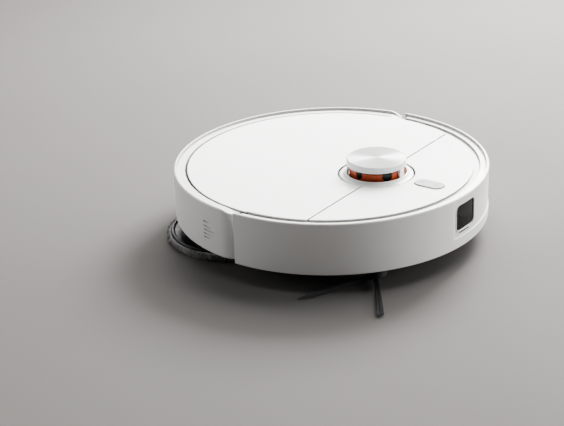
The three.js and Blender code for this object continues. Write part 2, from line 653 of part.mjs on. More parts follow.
function tyre() {
  const x0 = WHEEL_X - WHEEL_W / 2;
  const x1 = WHEEL_X + WHEEL_W / 2;
  const shoulder = 2;
  const body = revolve([
    [WHEEL_R - TYRE_T, x0], [WHEEL_R - shoulder, x0], [WHEEL_R, x0 + shoulder],
    [WHEEL_R, x1 - shoulder], [WHEEL_R - shoulder, x1], [WHEEL_R - TYRE_T, x1],
  ], 32).rotate([0, 90, 0]);
  const groove = box(x0 - 1, x1 + 1, -0.9, 0.9, WHEEL_R - 1.4, WHEEL_R + 1);
  const grooves = Array.from({ length: TREAD_BARS }, (_, i) => groove
    .rotate([((i + 0.5) * 360) / TREAD_BARS, 0, 0]));
  return cut(body, ...grooves);
}

function wheelHub() {
  const rimR = WHEEL_R - TYRE_T - FIT;
  const x0 = WHEEL_X - WHEEL_W / 2;
  const x1 = WHEEL_X + WHEEL_W / 2;
  const rim = revolve([
    [rimR - 2.5, x0 + 0.5], [rimR, x0 + 0.5], [rimR, x1 - 0.5], [rimR - 2.5, x1 - 0.5],
    [rimR - 3.5, WHEEL_X + 3], [7, WHEEL_X + 5], [7, x1 - 2], [0, x1 - 2], [0, x0 + 0.2],
    [7, x0 + 0.2], [7, WHEEL_X], [rimR - 3.5, WHEEL_X - 1],
  ], 20).rotate([0, 90, 0]);
  const shaft = rod(SHAFT_R, GEARBOX_X0 + 0.5, x0 + 1, 0, 0);
  const hole = rod(4, x0, x1, 15.5, 0, 10);
  const holes = Array.from({ length: 5 }, (_, i) => hole.rotate([i * 72, 0, 0]));
  return union(cut(rim, ...holes), shaft);
}

for (const [side, s] of SIDES) {
  const wheel = new THREE.Group();
  wheel.position.set(0, WHEEL_Y, WHEEL_R);
  vacuum.add(wheel);
  place(`wheel_cassette_${side}`, onSide(wheelCassette(), s), paint(0x232427, 0.6));
  place(`drive_unit_${side}`, onSide(driveUnit(), s), paint(0x3a3c40, 0.5));
  place(`suspension_pin_${side}`, onSide(suspensionPin(), s), paint(0xb8babd, 0.3, 0.9));
  place(`suspension_spring_${side}`, onSide(suspensionSpring(), s), paint(0x9b9da0, 0.3, 0.9));
  place(`tyre_${side}`, onSide(tyre(), s), paint(0x1a1a1b, 0.85), wheel);
  place(`wheel_hub_${side}`, onSide(wheelHub(), s), paint(0x4a4c50, 0.5), wheel);
}

// ---------------------------------------------------------------- caster
const YOKE_T = 2.4;
const CASTER_AXLE_R = 1.3;

function casterYoke() {
  const stem = disc(3.4, 15.8, 27.5, 16);
  const knob = disc(5.5, 25 + FIT, 27.5, 16);
  const body = disc(12, 15.8, 20, 20);
  const x = CASTER_W / 2 + RUN;
  const arm = slabX(yokeArm(), x, x + YOKE_T, 6);
  const axleHole = rod(CASTER_AXLE_R + FIT, -FAR, FAR, CASTER_TRAIL, CASTER_R);
  return cut(union(stem, knob, body, arm, arm.mirror([1, 0, 0])), axleHole);
}

function yokeArm() {
  const arm = new THREE.Shape();
  arm.moveTo(-5, 17);
  arm.lineTo(CASTER_TRAIL - 4, CASTER_R);
  arm.absarc(CASTER_TRAIL, CASTER_R, 4, Math.PI, Math.PI * 2, false);
  arm.lineTo(CASTER_TRAIL + 5, 17);
  return arm;
}

function casterWheel() {
  const half = CASTER_W / 2;
  const body = revolve([
    [1.8, -half], [CASTER_R - 1, -half], [CASTER_R, -half + 1], [CASTER_R, half - 1],
    [CASTER_R - 1, half], [1.8, half],
  ], 24);
  return body.rotate([0, 90, 0]);
}

const caster = new THREE.Group();
caster.position.y = CASTER_Y;
vacuum.add(caster);
const casterAxis = new THREE.Group();
casterAxis.position.set(0, CASTER_TRAIL, CASTER_R);
caster.add(casterAxis);
place('caster_yoke', casterYoke(), paint(0x2a2b2e, 0.5), caster);
place('caster_wheel', casterWheel(), paint(0x3b3c3f, 0.6), casterAxis);
const axleHalf = CASTER_W / 2 + RUN + YOKE_T - 0.4;
place('caster_axle', rod(CASTER_AXLE_R, -axleHalf, axleHalf, 0, 0, 16), paint(0xb8babd, 0.3, 0.9),
  casterAxis);

// ---------------------------------------------------------------- main brush
const ROLLER_TWIST = 55;

// a star section drawn out along the axle and twisted into a chevron
function rollerBody() {
  const star = new THREE.Shape();
  const half = 1.4;
  const inner = Math.asin(half / ROLLER_CORE_R);
  const outer = Math.asin(half / ROLLER_R);
  for (let i = 0; i < ROLLER_VANES; i += 1) {
    const a = (i * 2 * Math.PI) / ROLLER_VANES;
    const points = [
      [ROLLER_CORE_R, a - inner], [ROLLER_R, a - outer], [ROLLER_R, a + outer],
      [ROLLER_CORE_R, a + inner], [ROLLER_CORE_R, a + Math.PI / ROLLER_VANES],
    ];
    points.forEach(([r, t], k) => {
      const go = i + k === 0 ? 'moveTo' : 'lineTo';
      star[go](r * Math.cos(t), r * Math.sin(t));
    });
  }
  const steps = 6;
  const shape = new THREE.ExtrudeGeometry(star, { depth: ROLLER_L, steps, bevelEnabled: false });
  const at = shape.attributes.position;
  const v = new THREE.Vector3();
  for (let i = 0; i < at.count; i += 1) {
    v.fromBufferAttribute(at, i);
    const turn = (ROLLER_TWIST * Math.abs(v.z - ROLLER_L / 2)) / (ROLLER_L / 2);
    v.applyAxisAngle(new THREE.Vector3(0, 0, 1), THREE.MathUtils.degToRad(turn));
    at.setXYZ(i, v.x, v.y, v.z);
  }
  return solid(shape).translate([0, 0, -ROLLER_L / 2]).rotate([0, 90, 0]);
}

function mainBrush() {
  const half = ROLLER_L / 2;
  const end = rod(ROLLER_CORE_R + 3, half - 1, half + 2, 0, 0, 18);
  const drive = rod(5, half + 1, TUNNEL_HALF + 1, 0, 0, 6);
  const stub = rod(3, -half - 6, -half - 1, 0, 0, 16);
  return union(rollerBody(), end, end.mirror([1, 0, 0]), drive, stub);
}

function brushEndCap() {
  const half = ROLLER_L / 2;
  const cap = rod(11, -half - 6.5, -half - 2 - RUN, 0, 0, 20);
  const plug = rod(6.6, -TUNNEL_HALF - 1.5, -half - 6, 0, 0, 24);
  return cut(union(cap, plug), rod(3 + FIT, -half - 6.2, -half, 0, 0, 16));
}

const roller = new THREE.Group();
roller.position.set(0, ROLLER_Y, ROLLER_Z);
vacuum.add(roller);
place('main_brush', mainBrush(), paint(0x2b2220, 0.8), roller);
place('brush_end_cap', brushEndCap(), paint(0x8e9196, 0.5), roller);

const LATCH_X = 60;
const GUARD_RIBS = 5;
const GUARD_X = TUNNEL_HALF + GUARD_SIDE - RUN;
const GUARD_Y0 = ROLLER_Y - TUNNEL_R - GUARD_EDGE + RUN;
const GUARD_Y1 = ROLLER_Y + TUNNEL_R + GUARD_EDGE - RUN;

function brushGuard() {
  const top = UNDERSIDE_Z + 1 - FIT;
  const plate = box(-GUARD_X, GUARD_X, GUARD_Y0, GUARD_Y1, GUARD_Z, top);
  const mouth = box(-ROLLER_L / 2 - 3, ROLLER_L / 2 + 3, ROLLER_Y - ROLLER_R + 1,
    ROLLER_Y + ROLLER_R - 1, 0, FAR);
  const rib = box(-1, 1, ROLLER_Y + 14.5, GUARD_Y1 - 7, GUARD_Z - 1.2, top);
  const ribs = Array.from({ length: GUARD_RIBS }, (_, i) => rib
    .translate([(i - (GUARD_RIBS - 1) / 2) * 26, 0, 0]));
  const latchGap = box(-9.5, 9.5, GUARD_Y1 - 6 - LATCH_TRAVEL, FAR, 0, FAR);
  const latchGaps = SIDES.map(([, s]) => latchGap.translate([s * LATCH_X, 0, 0]));
  return cut(union(cut(plate, mouth), ...ribs), ...latchGaps);
}

place('brush_guard', brushGuard(), paint(0x26272a, 0.55));
for (const [side, s] of SIDES) {
  const latch = union(
    box(-9, 9, GUARD_Y1 - 5.6, GUARD_Y1 - 2, GUARD_Z, UNDERSIDE_Z + 1 - FIT),
    box(-7, 7, GUARD_Y1 - 5.6, GUARD_Y1 - 4, GUARD_Z - 1, UNDERSIDE_Z),
  );
  place(`guard_latch_${side}`, latch.translate([s * LATCH_X, 0, 0]), paint(0xc2521f, 0.5));
}

const BRUSH_MOTOR = { r: 12, length: 42, ahead: 40, z: 34 };

// a flat gearbox outside the tunnel, with its motor ahead of the roller
function brushGearbox() {
  const x0 = TUNNEL_HALF + TUNNEL_T + FIT;
  const x1 = CASSETTE_X0 - 4 - FIT;
  const { r, length, ahead, z } = BRUSH_MOTOR;
  const side = new THREE.Shape();
  side.absarc(ROLLER_Y, ROLLER_Z + 2, 8.5, -Math.PI / 2, Math.PI / 2, false);
  side.absarc(ROLLER_Y - ahead - 4, z, r, Math.PI / 2, Math.PI * 1.5, false);
  const motor = rod(r, x0 - length, x0 + 0.5, ROLLER_Y - ahead, z, 18);
  const casing = slabX(side, x0, Math.max(x1, x0 + 2), 6);
  const socket = rod(5 + RUN, 0, FAR, ROLLER_Y, ROLLER_Z, 12);
  return cut(union(casing, motor), socket);
}

place('brush_gearbox', brushGearbox(), paint(0x3a3c40, 0.5));

// ---------------------------------------------------------------- side brush
const SIDE_ARM_Z = 1.8;
const SIDE_HUB_Z = 5.3;

function sideBrushHub() {
  return revolve([
    [0, SIDE_ARM_Z], [5, SIDE_ARM_Z], [5, SIDE_HUB_Z], [11, SIDE_HUB_Z], [12, SIDE_HUB_Z + 1],
    [12, 10], [10, 12], [3.4, 12], [3.4, 21], [0, 21],
  ], 24);
}

// a bunch of bristles that widens towards its tip
function sideBrushArm() {
  const half = SIDE_ARM_W / 2;
  const arm = outline([
    [9.5, -2.6], [20, -3.4], [SIDE_ARM_L - 3, -half], [SIDE_ARM_L, 0],
    [SIDE_ARM_L - 3, half], [20, 3.4], [9.5, 2.6],
  ]);
  return extrude(arm, SIDE_ARM_Z, SIDE_HUB_Z - FIT);
}

function sideGearbox() {
  const casing = union(disc(19, PLATE_Z + FIT, 34, 24), disc(11, 30, 52, 20));
  const room = panSpace(FIT, FAR).translate([-SIDE_X, -SIDE_Y, 0]);
  return cut(casing.intersect(room), disc(4, 0, 22, 16));
}

const sideBrush = new THREE.Group();
sideBrush.position.set(SIDE_X, SIDE_Y, 0);
vacuum.add(sideBrush);
place('side_brush_hub', sideBrushHub(), paint(0x202124, 0.5), sideBrush);
place('side_gearbox', sideGearbox(), paint(0x3a3c40, 0.5), sideBrush);
SIDE_ARM_DEG.forEach((degrees, i) => {
  const arm = place(`side_brush_arm_${i + 1}`, sideBrushArm(), paint(0x18181a, 0.9), sideBrush);
  arm.rotation.z = THREE.MathUtils.degToRad(degrees);
});

// ---------------------------------------------------------------- mops
const PLATE_Z0 = PAD_T + FIT;
const PLATE_RIM_Z = PLATE_Z0 + PLATE_T + 1;
const PLATE_RIBS = 6;
const CARRIAGE_Z = BASE_TOP_Z + FIT;
const SPINDLE_R = 6;

function mopPad() {
  return revolve([
    [0, 0], [MOP_R - 3, 0], [MOP_R, 2.5], [MOP_R, PAD_T - 1], [MOP_R - 1, PAD_T], [0, PAD_T],
  ], 32);
}

// a dish with a raised rim and a hub, and ribs between them
function mopPlate() {
  const z0 = PLATE_Z0;
  const r = MOP_R - 1.5;
  const dish = revolve([
    [0, z0], [r, z0], [r, PLATE_RIM_Z], [r - 2.5, PLATE_RIM_Z], [r - 3.5, z0 + 2.2], [14, z0 + 2.2],
    [12, PLATE_RIM_Z], [0, PLATE_RIM_Z],
  ], 32);
  const rib = box(13, r - 3, -1, 1, z0 + 1, PLATE_RIM_Z - 1.5);
  const ribs = Array.from({ length: PLATE_RIBS }, (_, i) => rib.rotate([0, 0, (i * 360) / PLATE_RIBS]));
  return cut(union(dish, ...ribs), disc(SPINDLE_R + FIT, z0 + 1.2, FAR, 6));
}

function mopSpindle() {
  const hex = disc(SPINDLE_R, PLATE_Z0 + 1.5, CARRIAGE_Z + 2, 6);
  return union(hex, disc(SHAFT_R + 1, CARRIAGE_Z - 1, CARRIAGE_Z + 12, 12));
}

const BRIDGE = { back: 27, depth: 10, height: 14, rodX: 30 };

// both gearboxes hang on one bridge behind them, which the lift raises
function mopCarriage() {
  const top = DECK_Z - DECK_T - MOP_LIFT - 2;
  const gearbox = union(disc(17, CARRIAGE_Z, CARRIAGE_Z + 20, 16), disc(11, CARRIAGE_Z + 19, top, 12));
  const bore = union(disc(SPINDLE_R + RUN, 0, CARRIAGE_Z + 2.5, 16),
    disc(SHAFT_R + 1 + RUN, 0, CARRIAGE_Z + 13, 12));
  const gearboxes = SIDES.map(([, s]) => cut(gearbox, bore).translate([s * MOP_X, MOP_Y, 0]));
  const y1 = MOP_Y + BRIDGE.back;
  const y0 = y1 - BRIDGE.depth;
  const bridge = box(-MOP_X, MOP_X, y0, y1, CARRIAGE_Z, CARRIAGE_Z + BRIDGE.height);
  const foot = box(-8, 8, y0 - 5, y1, CARRIAGE_Z, CARRIAGE_Z + BRIDGE.height);
  const feet = SIDES.map(([, s]) => foot.translate([s * MOP_X, 0, 0]));
  const rodHole = disc(2.4, 0, FAR, 10).translate([BRIDGE.rodX, (y0 + y1) / 2, 0]);
  return cut(union(bridge, ...gearboxes, ...feet), rodHole, rodHole.mirror([1, 0, 0]));
}

place('mop_carriage', mopCarriage(), paint(0x44464a, 0.5));
for (const [side, s] of SIDES) {
  const mop = new THREE.Group();
  mop.position.set(s * MOP_X, MOP_Y, 0);
  vacuum.add(mop);
  place(`mop_pad_${side}`, mopPad(), paint(0x4a4b4e, 0.95), mop);
  place(`mop_plate_${side}`, mopPlate(), paint(0x17181a, 0.45), mop);
  place(`mop_spindle_${side}`, mopSpindle(), paint(0x8f9194, 0.4, 0.6), mop);
}

// ---------------------------------------------------------------- dust bin
const FILTER = { w: 80, y: 32, low: 4, high: 30 }; // heights over the bin's floor
const HANDLE = { half: 50, y: 34, reach: 9.4, t: 2.8 };

function dustBin() {
  const half = BIN_W / 2;
  const outer = union(
    box(-half, half, BIN_STEP_Y, BIN_Y1, BIN_Z, BIN_TOP_Z),
    box(-half, half, BIN_Y0, BIN_STEP_Y + 1, BIN_STEP_Z, BIN_TOP_Z),
  );
  const w = BIN_WALL;
  const inner = union(
    box(-half + w, half - w, BIN_STEP_Y + w, FILTER.y - w, BIN_Z + w, FAR),
    box(-half + w, half - w, BIN_Y0 + w, BIN_STEP_Y + w + 1, BIN_STEP_Z + w, FAR),
  );
  const inlet = box(-42, 42, BIN_STEP_Y - 1, BIN_STEP_Y + w + 1, BIN_Z + 3, BIN_Z + 15);
  const filterSlot = box(-FILTER.w / 2 - FIT, FILTER.w / 2 + FIT, FILTER.y - w - 1, BIN_Y1 - w,
    BIN_Z + FILTER.low - FIT, BIN_Z + FILTER.high + FIT);
  const filterAir = box(4 - FILTER.w / 2, FILTER.w / 2 - 4, BIN_Y1 - w - 1, BIN_Y1 + 1,
    BIN_Z + FILTER.low + 4, BIN_Z + FILTER.high - 2);
  const lidSeat = box(-half + 0.8, half - 0.8, BIN_Y0 + 0.8, FILTER.y, BIN_TOP_Z - 2.4, FAR);
  const handleSlot = box(-HANDLE.half - 2, HANDLE.half + 2, HANDLE.y - 0.8,
    HANDLE.y + HANDLE.reach + 1, BIN_TOP_Z - 4, FAR);
  return cut(outer, inner, inlet, filterSlot, filterAir, lidSeat, handleSlot);
}

function dustBinLid() {
  const half = BIN_W / 2 - 0.8 - RUN;
  const y1 = FILTER.y - RUN;
  const plate = box(-half, half, BIN_Y0 + 0.8 + RUN, y1, BIN_TOP_Z - 2.1, BIN_TOP_Z);
  const tab = box(-10, 10, y1 - 5.4, y1, BIN_TOP_Z - 0.5, BIN_TOP_Z + 1.5);
  return union(plate, tab);
}

function binFilter() {
  return box(-FILTER.w / 2, FILTER.w / 2, FILTER.y, BIN_Y1 - BIN_WALL - FIT,
    BIN_Z + FILTER.low, BIN_Z + FILTER.high);
}

function binHandle() {
  const { half, y, reach, t } = HANDLE;
  const z1 = BIN_TOP_Z - 0.4;
  const bar = box(-half, half, y, y + 3, z1 - t, z1);
  const arm = box(half - 2.6, half + 0.6, y, y + reach, z1 - t, z1);
  return union(bar, arm, arm.mirror([1, 0, 0]));
}

place('dust_bin', dustBin(), paint(0x6f7378, 0.2));
place('dust_bin_lid', dustBinLid(), paint(0x2c2e31, 0.4));
place('bin_filter', binFilter(), paint(0xe9e8e2, 0.9));
place('bin_handle', binHandle(), paint(0xc2521f, 0.45));

// ---------------------------------------------------------------- battery, fan, boards
function battery() {
  const { w, h, y } = BATTERY;
  const z0 = BASE_TOP_Z + FIT;
  return box(-w / 2, w / 2, y, BODY_R - BATTERY_INSET, z0, z0 + h);
}

const FAN_Z0 = BASE_TOP_Z + FIT;
const FAN_Z1 = FAN_Z0 + 40;

function fanHousing() {
  const shell = disc(FAN_R, FAN_Z0, FAN_Z1, 28);
  const inlet = box(-FAN_R + 4, FAN_R - 4, -FAN_R + 1, 0, BIN_Z + 8, BIN_Z + 28);
  const duct = box(-FAN_R + 2, FAN_R - 2, -FAN_R, 0, BIN_Z + 6, BIN_Z + 30);
  const chamber = disc(FAN_R - 2, FAN_Z0 + 2, FAN_Z1 - 2, 28);
  const outlet = box(FAN_R - 8, FAN_R + 9, -6, 8, FAN_Z0 + 8, FAN_Z0 + 24);
  const nozzle = box(FAN_R - 6, FAN_R + 8, -8, 10, FAN_Z0 + 6, FAN_Z0 + 26);
  return cut(union(shell, duct, nozzle, disc(6, FAN_Z0, FAN_Z0 + 8, 12)),
    cut(union(chamber, inlet, outlet), disc(6, 0, FAN_Z0 + 8, 12)),
    box(-FAN_R + 4, FAN_R - 4, -FAN_R - 1, -FAN_R + 8, BIN_Z + 8, BIN_Z + 28));
}

function fanImpeller() {
  const z0 = FAN_Z0 + 8 + RUN;
  const plate = disc(FAN_R - 5, z0, z0 + 2, 24);
  const hub = disc(5, z0, z0 + 16, 12);
  const blade = box(4, FAN_R - 6, -0.8, 0.8, z0 + 1, z0 + 14);
  const blades = Array.from({ length: 9 }, (_, i) => blade.rotate([0, 0, i * 40]));
  return union(plate, hub, ...blades);
}

const fan = new THREE.Group();
fan.position.y = FAN_Y;
vacuum.add(fan);
place('battery_pack', battery(), paint(0x2d5fa8, 0.5));
place('fan_housing', fanHousing(), paint(0x33353a, 0.5), fan);
place('fan_impeller', fanImpeller(), paint(0xd8d6d0, 0.4), fan);

const BOARD = { x0: -58, x1: 92, y0: -104, y1: -66, z: 51, t: 1.6 };
// the larger parts on it: left edge, middle, width and length
const CHIPS = [[-30, -90, 14, 14], [5, -88, 10, 16], [40, -86, 18, 12], [70, -92, 12, 20]];

function mainBoard() {
  const { x0, x1, y0, y1, z, t } = BOARD;
  const board = box(x0, x1, y0, y1, z, z + t);
  const blocks = CHIPS.map(([x, y, w, l]) => box(x, x + w, y - l / 2, y + l / 2, z + 1, z + 4.5));
  const leg = disc(3, PLATE_Z + FIT, z + 0.5, 12);
  const legs = [x0 + 4, x1 - 4].map((x) => leg.translate([x, y0 + 4, 0]));
  return union(board, ...blocks, ...legs);
}

place('main_board', mainBoard(), paint(0x1f5138, 0.5));

function chargeContact(x) {
  const y = BODY_R - 2;
  const plate = box(x - 5, x + 5, y - 1.5, y, 36, 52);
  const tab = box(x - 2, x + 2, y - 12, y - 1, 42, 46);
  return union(plate, tab);
}

for (const [side, s] of SIDES) {
  place(`charge_contact_${side}`, chargeContact(s * CONTACT_X), paint(0xc9a45c, 0.3, 0.9));
  const window = place(`cliff_sensor_${side}`, box(-8, 8, -3.5, 3.5, UNDERSIDE_Z + 0.2, UNDERSIDE_Z + 1),
    paint(0x141214, 0.15));
  const turn = THREE.MathUtils.degToRad(s * CLIFF_DEG);
  window.position.set(Math.sin(turn) * (BODY_R - CLIFF_INSET), -Math.cos(turn) * (BODY_R - CLIFF_INSET), 0);
  window.rotation.z = turn;
}

const SPEAKER_R = 13;
const SPEAKER_T = 9;

// the can's front rim meets the curved wall behind the slots
function speaker() {
  const wall = SHELL_IN_R * Math.cos(Math.PI / ROUND) - FIT;
  const front = Math.sqrt(wall * wall - SPEAKER_R * SPEAKER_R);
  return disc(SPEAKER_R, 0, SPEAKER_T, 24).rotate([0, -90, 0]).translate([SPEAKER_T - front, 0, 49]);
}

const speakerNode = place('speaker', speaker(), paint(0x222326, 0.6));
speakerNode.rotation.z = THREE.MathUtils.degToRad(-SPEAKER_DEG);

export default vacuum;
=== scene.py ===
import math
import random

import bmesh
import bpy
from mathutils import Matrix, Vector, noise


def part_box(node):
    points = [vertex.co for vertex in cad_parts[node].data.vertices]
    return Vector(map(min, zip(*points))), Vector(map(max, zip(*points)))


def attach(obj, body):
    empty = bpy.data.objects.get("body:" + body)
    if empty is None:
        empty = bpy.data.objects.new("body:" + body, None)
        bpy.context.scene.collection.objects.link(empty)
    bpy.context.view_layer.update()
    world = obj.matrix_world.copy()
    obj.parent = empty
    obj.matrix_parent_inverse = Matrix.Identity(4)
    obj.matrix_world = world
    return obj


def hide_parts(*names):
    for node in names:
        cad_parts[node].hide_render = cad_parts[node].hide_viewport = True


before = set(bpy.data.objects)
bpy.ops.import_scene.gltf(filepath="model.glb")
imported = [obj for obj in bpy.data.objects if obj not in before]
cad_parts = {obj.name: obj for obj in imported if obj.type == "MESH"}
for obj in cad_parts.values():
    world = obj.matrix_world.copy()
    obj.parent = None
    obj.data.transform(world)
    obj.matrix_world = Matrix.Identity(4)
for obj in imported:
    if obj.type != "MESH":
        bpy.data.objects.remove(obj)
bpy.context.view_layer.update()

# A round robot vacuum: white shells over a black chassis, a laser turret with a spun metal cap,
# and two spinning mops that show at the back. Shapes are drawn in millimetres and finished in
# metres. The front is -Y and the machine's left is +X.
MM = 0.001


def span(node):
    """the lowest and highest corners of a CAD node, in millimetres"""
    low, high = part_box(node)
    return low / MM, high / MM


def middle(node):
    low, high = span(node)
    return (low + high) / 2


# ------------------------------------------------------------------ sizes read from the frame
BUMPER = span("bumper")
BODY_R = BUMPER[1].x
RIM_Z = BUMPER[1].z
LID_Z = span("rear_lid")[1].z
LID_R = span("rear_lid")[1].x
COVER_R = -span("front_cover")[0].y
HOUSING_Z = span("upper_housing")[0].z
TURRET = middle("turret_cap")
CAP = span("turret_cap")
CAP_R = (CAP[1].x - CAP[0].x) / 2
FOOT = span("turret_base")
FOOT_R = (FOOT[1].x - FOOT[0].x) / 2
ROTOR = span("lidar_rotor")
ROTOR_R = (ROTOR[1].x - ROTOR[0].x) / 2
BUTTON = span("power_button")
WINDOW = span("bumper_window")
RIM_IN_R = COVER_R + 5
REAR_RIM_IN_R = LID_R + 1
SIDE_HUB = middle("side_brush_hub")
SIDE_TIP = -span("side_brush_arm_1")[0].x
ROLLER_AT = middle("brush_end_cap")
SHELL_T = 2.5  # thickness of both shells' walls
EDGE_R = 2.0  # rounding of the rim's outer edge
CREST_R = BODY_R - 3.0  # inner edge of the rim's narrow crest
FAR = 300  # beyond the body on every side
SPEAKER_TURN = 17.2  # degrees from the widest place back to the speaker slots' common end
JOINT = 2.0  # degrees that the bumper reaches back past the widest place
ROUND = 192  # steps round a full turn of the large shells


# ------------------------------------------------------------------ camera and light
def in_scene(name, data):
    """an object with this data, in the scene"""
    thing = bpy.data.objects.new(name, data)
    bpy.context.scene.collection.objects.link(thing)
    return thing


def camera():
    """a long lens on the machine's front right, a little above it"""
    roll = math.radians(-1.93)
    eye = Vector((-1.3038, -0.87, 0.7058))
    aim = Vector((-0.0398, 0.0408, 0.0229))
    data = bpy.data.cameras.new("view")
    data.sensor_width = 36
    data.lens = 96.6
    data.clip_end = 50
    seen = in_scene("view", data)
    look = (aim - eye).to_track_quat("-Z", "Y").to_matrix().to_4x4()
    seen.matrix_world = Matrix.Translation(eye) @ look @ Matrix.Rotation(roll, 4, "Z")
    bpy.context.scene.camera = seen


def lamp(name, azimuth, height, distance, power, size, tint):
    """an oblong soft light that looks at the machine's middle; azimuth is counted from the machine's left
    side towards its back, distance and size are in metres"""
    data = bpy.data.lights.new(name, "AREA")
    data.shape = "RECTANGLE"
    data.size, data.size_y = size
    data.energy = power
    data.color = tint
    light = in_scene(name, data)
    turn, rise = math.radians(azimuth), math.radians(height)
    out = Vector((math.cos(turn) * math.cos(rise), math.sin(turn) * math.cos(rise), math.sin(rise)))
    place = out * distance
    facing = (-place).to_track_quat("-Z", "Y").to_matrix().to_4x4()
    light.matrix_world = Matrix.Translation(place) @ facing


def studio():
    """A small strong light and a wide soft one lie beyond the machine as the camera sees it: the small one
    draws the fans on the cap and the wide one feathers the shadow. A weak light beyond each side leaves only
    the middle of the near wall in shade, and a weak one high on the camera's side opens the shade under
    the body."""
    warm, cool = (1, 0.995, 0.985), (0.98, 0.99, 1)
    lamp("key", 5, 37, 1.5, 130, (0.6, 0.6), warm)
    lamp("ceiling", 6, 44, 1.3, 100, (2.2, 1.8), warm)
    lamp("left_side", 112, 14, 1.8, 14, (0.8, 0.8), cool)
    lamp("right_side", -54, 11, 1.8, 33, (0.8, 0.8), cool)
    lamp("front_fill", 216, 72, 2.4, 14, (1.6, 0.7), cool)
    world = bpy.data.worlds.new("room")
    world.use_nodes = True
    sky = world.node_tree.nodes["Background"]
    sky.inputs["Color"].default_value = (0.92, 0.93, 0.95, 1)
    sky.inputs["Strength"].default_value = 0.045
    bpy.context.scene.world = world


# ------------------------------------------------------------------ finishes
def paint(code):
    """an sRGB hex value as the linear colour that a socket takes"""
    parts = [int(code[i:i + 2], 16) / 255 for i in (1, 3, 5)]
    linear = [c / 12.92 if c <= 0.04045 else ((c + 0.055) / 1.055) ** 2.4 for c in parts]
    return (*linear, 1)


def per(size):
    """the scale of a pattern whose features are so many millimetres across"""
    return 1 / (size * MM)


WAVE = 0.314  # a wave pattern's period at a scale of 1: per(size) * WAVE puts its waves that size apart


def add(tree, kind, inputs, **settings):
    """adds a node: its settings, then each input's value or the output that feeds it"""
    made = tree.nodes.new("ShaderNode" + kind)
    for key, value in settings.items():
        setattr(made, key, value)
    for key, value in inputs.items():
        if isinstance(value, bpy.types.NodeSocket):
            tree.links.new(value, made.inputs[key])
        else:
            made.inputs[key].default_value = value
    return made


def finish_for(name, **values):
    """a new material with its uniform values on the shader's own sockets"""
    made = bpy.data.materials.new(name)
    made.use_nodes = True
    tree = made.node_tree
    shader = tree.nodes["Principled BSDF"]
    for key, value in values.items():
        shader.inputs[key.replace("_", " ")].default_value = value
    place = add(tree, "TexCoord", {}).outputs["Object"]
    return made, tree, shader, place


def moulded(name, body, cloud, grain, relief, gloss, speck=None, **values):
    """Injection-moulded plastic. A spark-eroded mould leaves a fine grain that breaks up the gloss,
    the resin clouds a little over a few centimetres, and handling leaves some parts shinier. Grain is the
    size of a pit and relief its depth, in millimetres; gloss is the least and the most roughness; speck is
    the tone of settled dust."""
    made, tree, shader, place = finish_for(name, **values)
    broad = add(tree, "TexNoise", {"Vector": place, "Scale": per(45), "Detail": 3})
    tone = add(tree, "Mix", {0: broad.outputs["Fac"], 6: paint(body), 7: paint(cloud)},
               data_type="RGBA").outputs[2]
    if speck:
        dust = add(tree, "TexNoise", {"Vector": place, "Scale": per(1.4), "Detail": 2})
        sparse = add(tree, "MapRange", {"Value": dust.outputs["Fac"], "From Min": 0.66, "From Max": 0.78,
                                        "To Max": 0.5})
        tone = add(tree, "Mix", {0: sparse.outputs["Result"], 6: tone, 7: paint(speck)},
                   data_type="RGBA").outputs[2]
    tree.links.new(tone, shader.inputs["Base Color"])
    rubbed = add(tree, "TexNoise", {"Vector": place, "Scale": per(14), "Detail": 4})
    sheen = add(tree, "MapRange", {"Value": rubbed.outputs["Fac"], "From Min": 0.3, "From Max": 0.7,
                                   "To Min": gloss[0], "To Max": gloss[1]})
    tree.links.new(sheen.outputs["Result"], shader.inputs["Roughness"])
    pits = add(tree, "TexNoise", {"Vector": place, "Scale": per(grain), "Detail": 2})
    skin = add(tree, "Bump", {"Height": pits.outputs["Fac"], "Strength": 0.35, "Distance": relief * MM})
    tree.links.new(skin.outputs["Normal"], shader.inputs["Normal"])
    return made


def clear_coated_lid():
    """White ABS under a clear coat: almost flat gloss with a long, faint orange peel and a few dust
    motes, so that the big lid is not one even white."""
    made, tree, shader, place = finish_for("coated_white_abs", Coat_Weight=0.35, Coat_Roughness=0.12)
    broad = add(tree, "TexNoise", {"Vector": place, "Scale": per(120), "Detail": 2})
    tone = add(tree, "Mix", {0: broad.outputs["Fac"], 6: paint("#f6f6f4"), 7: paint("#efefed")},
               data_type="RGBA").outputs[2]
    motes = add(tree, "TexVoronoi", {"Vector": place, "Scale": per(7)})
    few = add(tree, "MapRange", {"Value": motes.outputs["Distance"], "From Min": 0.02, "From Max": 0.035,
                                 "To Min": 0.25, "To Max": 0})
    dusty = add(tree, "Mix", {0: few.outputs["Result"], 6: tone, 7: paint("#b9b7b2")},
                data_type="RGBA").outputs[2]
    tree.links.new(dusty, shader.inputs["Base Color"])
    haze = add(tree, "TexNoise", {"Vector": place, "Scale": per(26), "Detail": 5})
    sheen = add(tree, "MapRange", {"Value": haze.outputs["Fac"], "From Min": 0.3, "From Max": 0.7,
                                   "To Min": 0.26, "To Max": 0.36})
    tree.links.new(sheen.outputs["Result"], shader.inputs["Roughness"])
    peel = add(tree, "TexNoise", {"Vector": place, "Scale": per(2.2), "Detail": 1})
    skin = add(tree, "Bump", {"Height": peel.outputs["Fac"], "Strength": 0.12, "Distance": 0.05 * MM})
    tree.links.new(skin.outputs["Normal"], shader.inputs["Normal"])
    return made


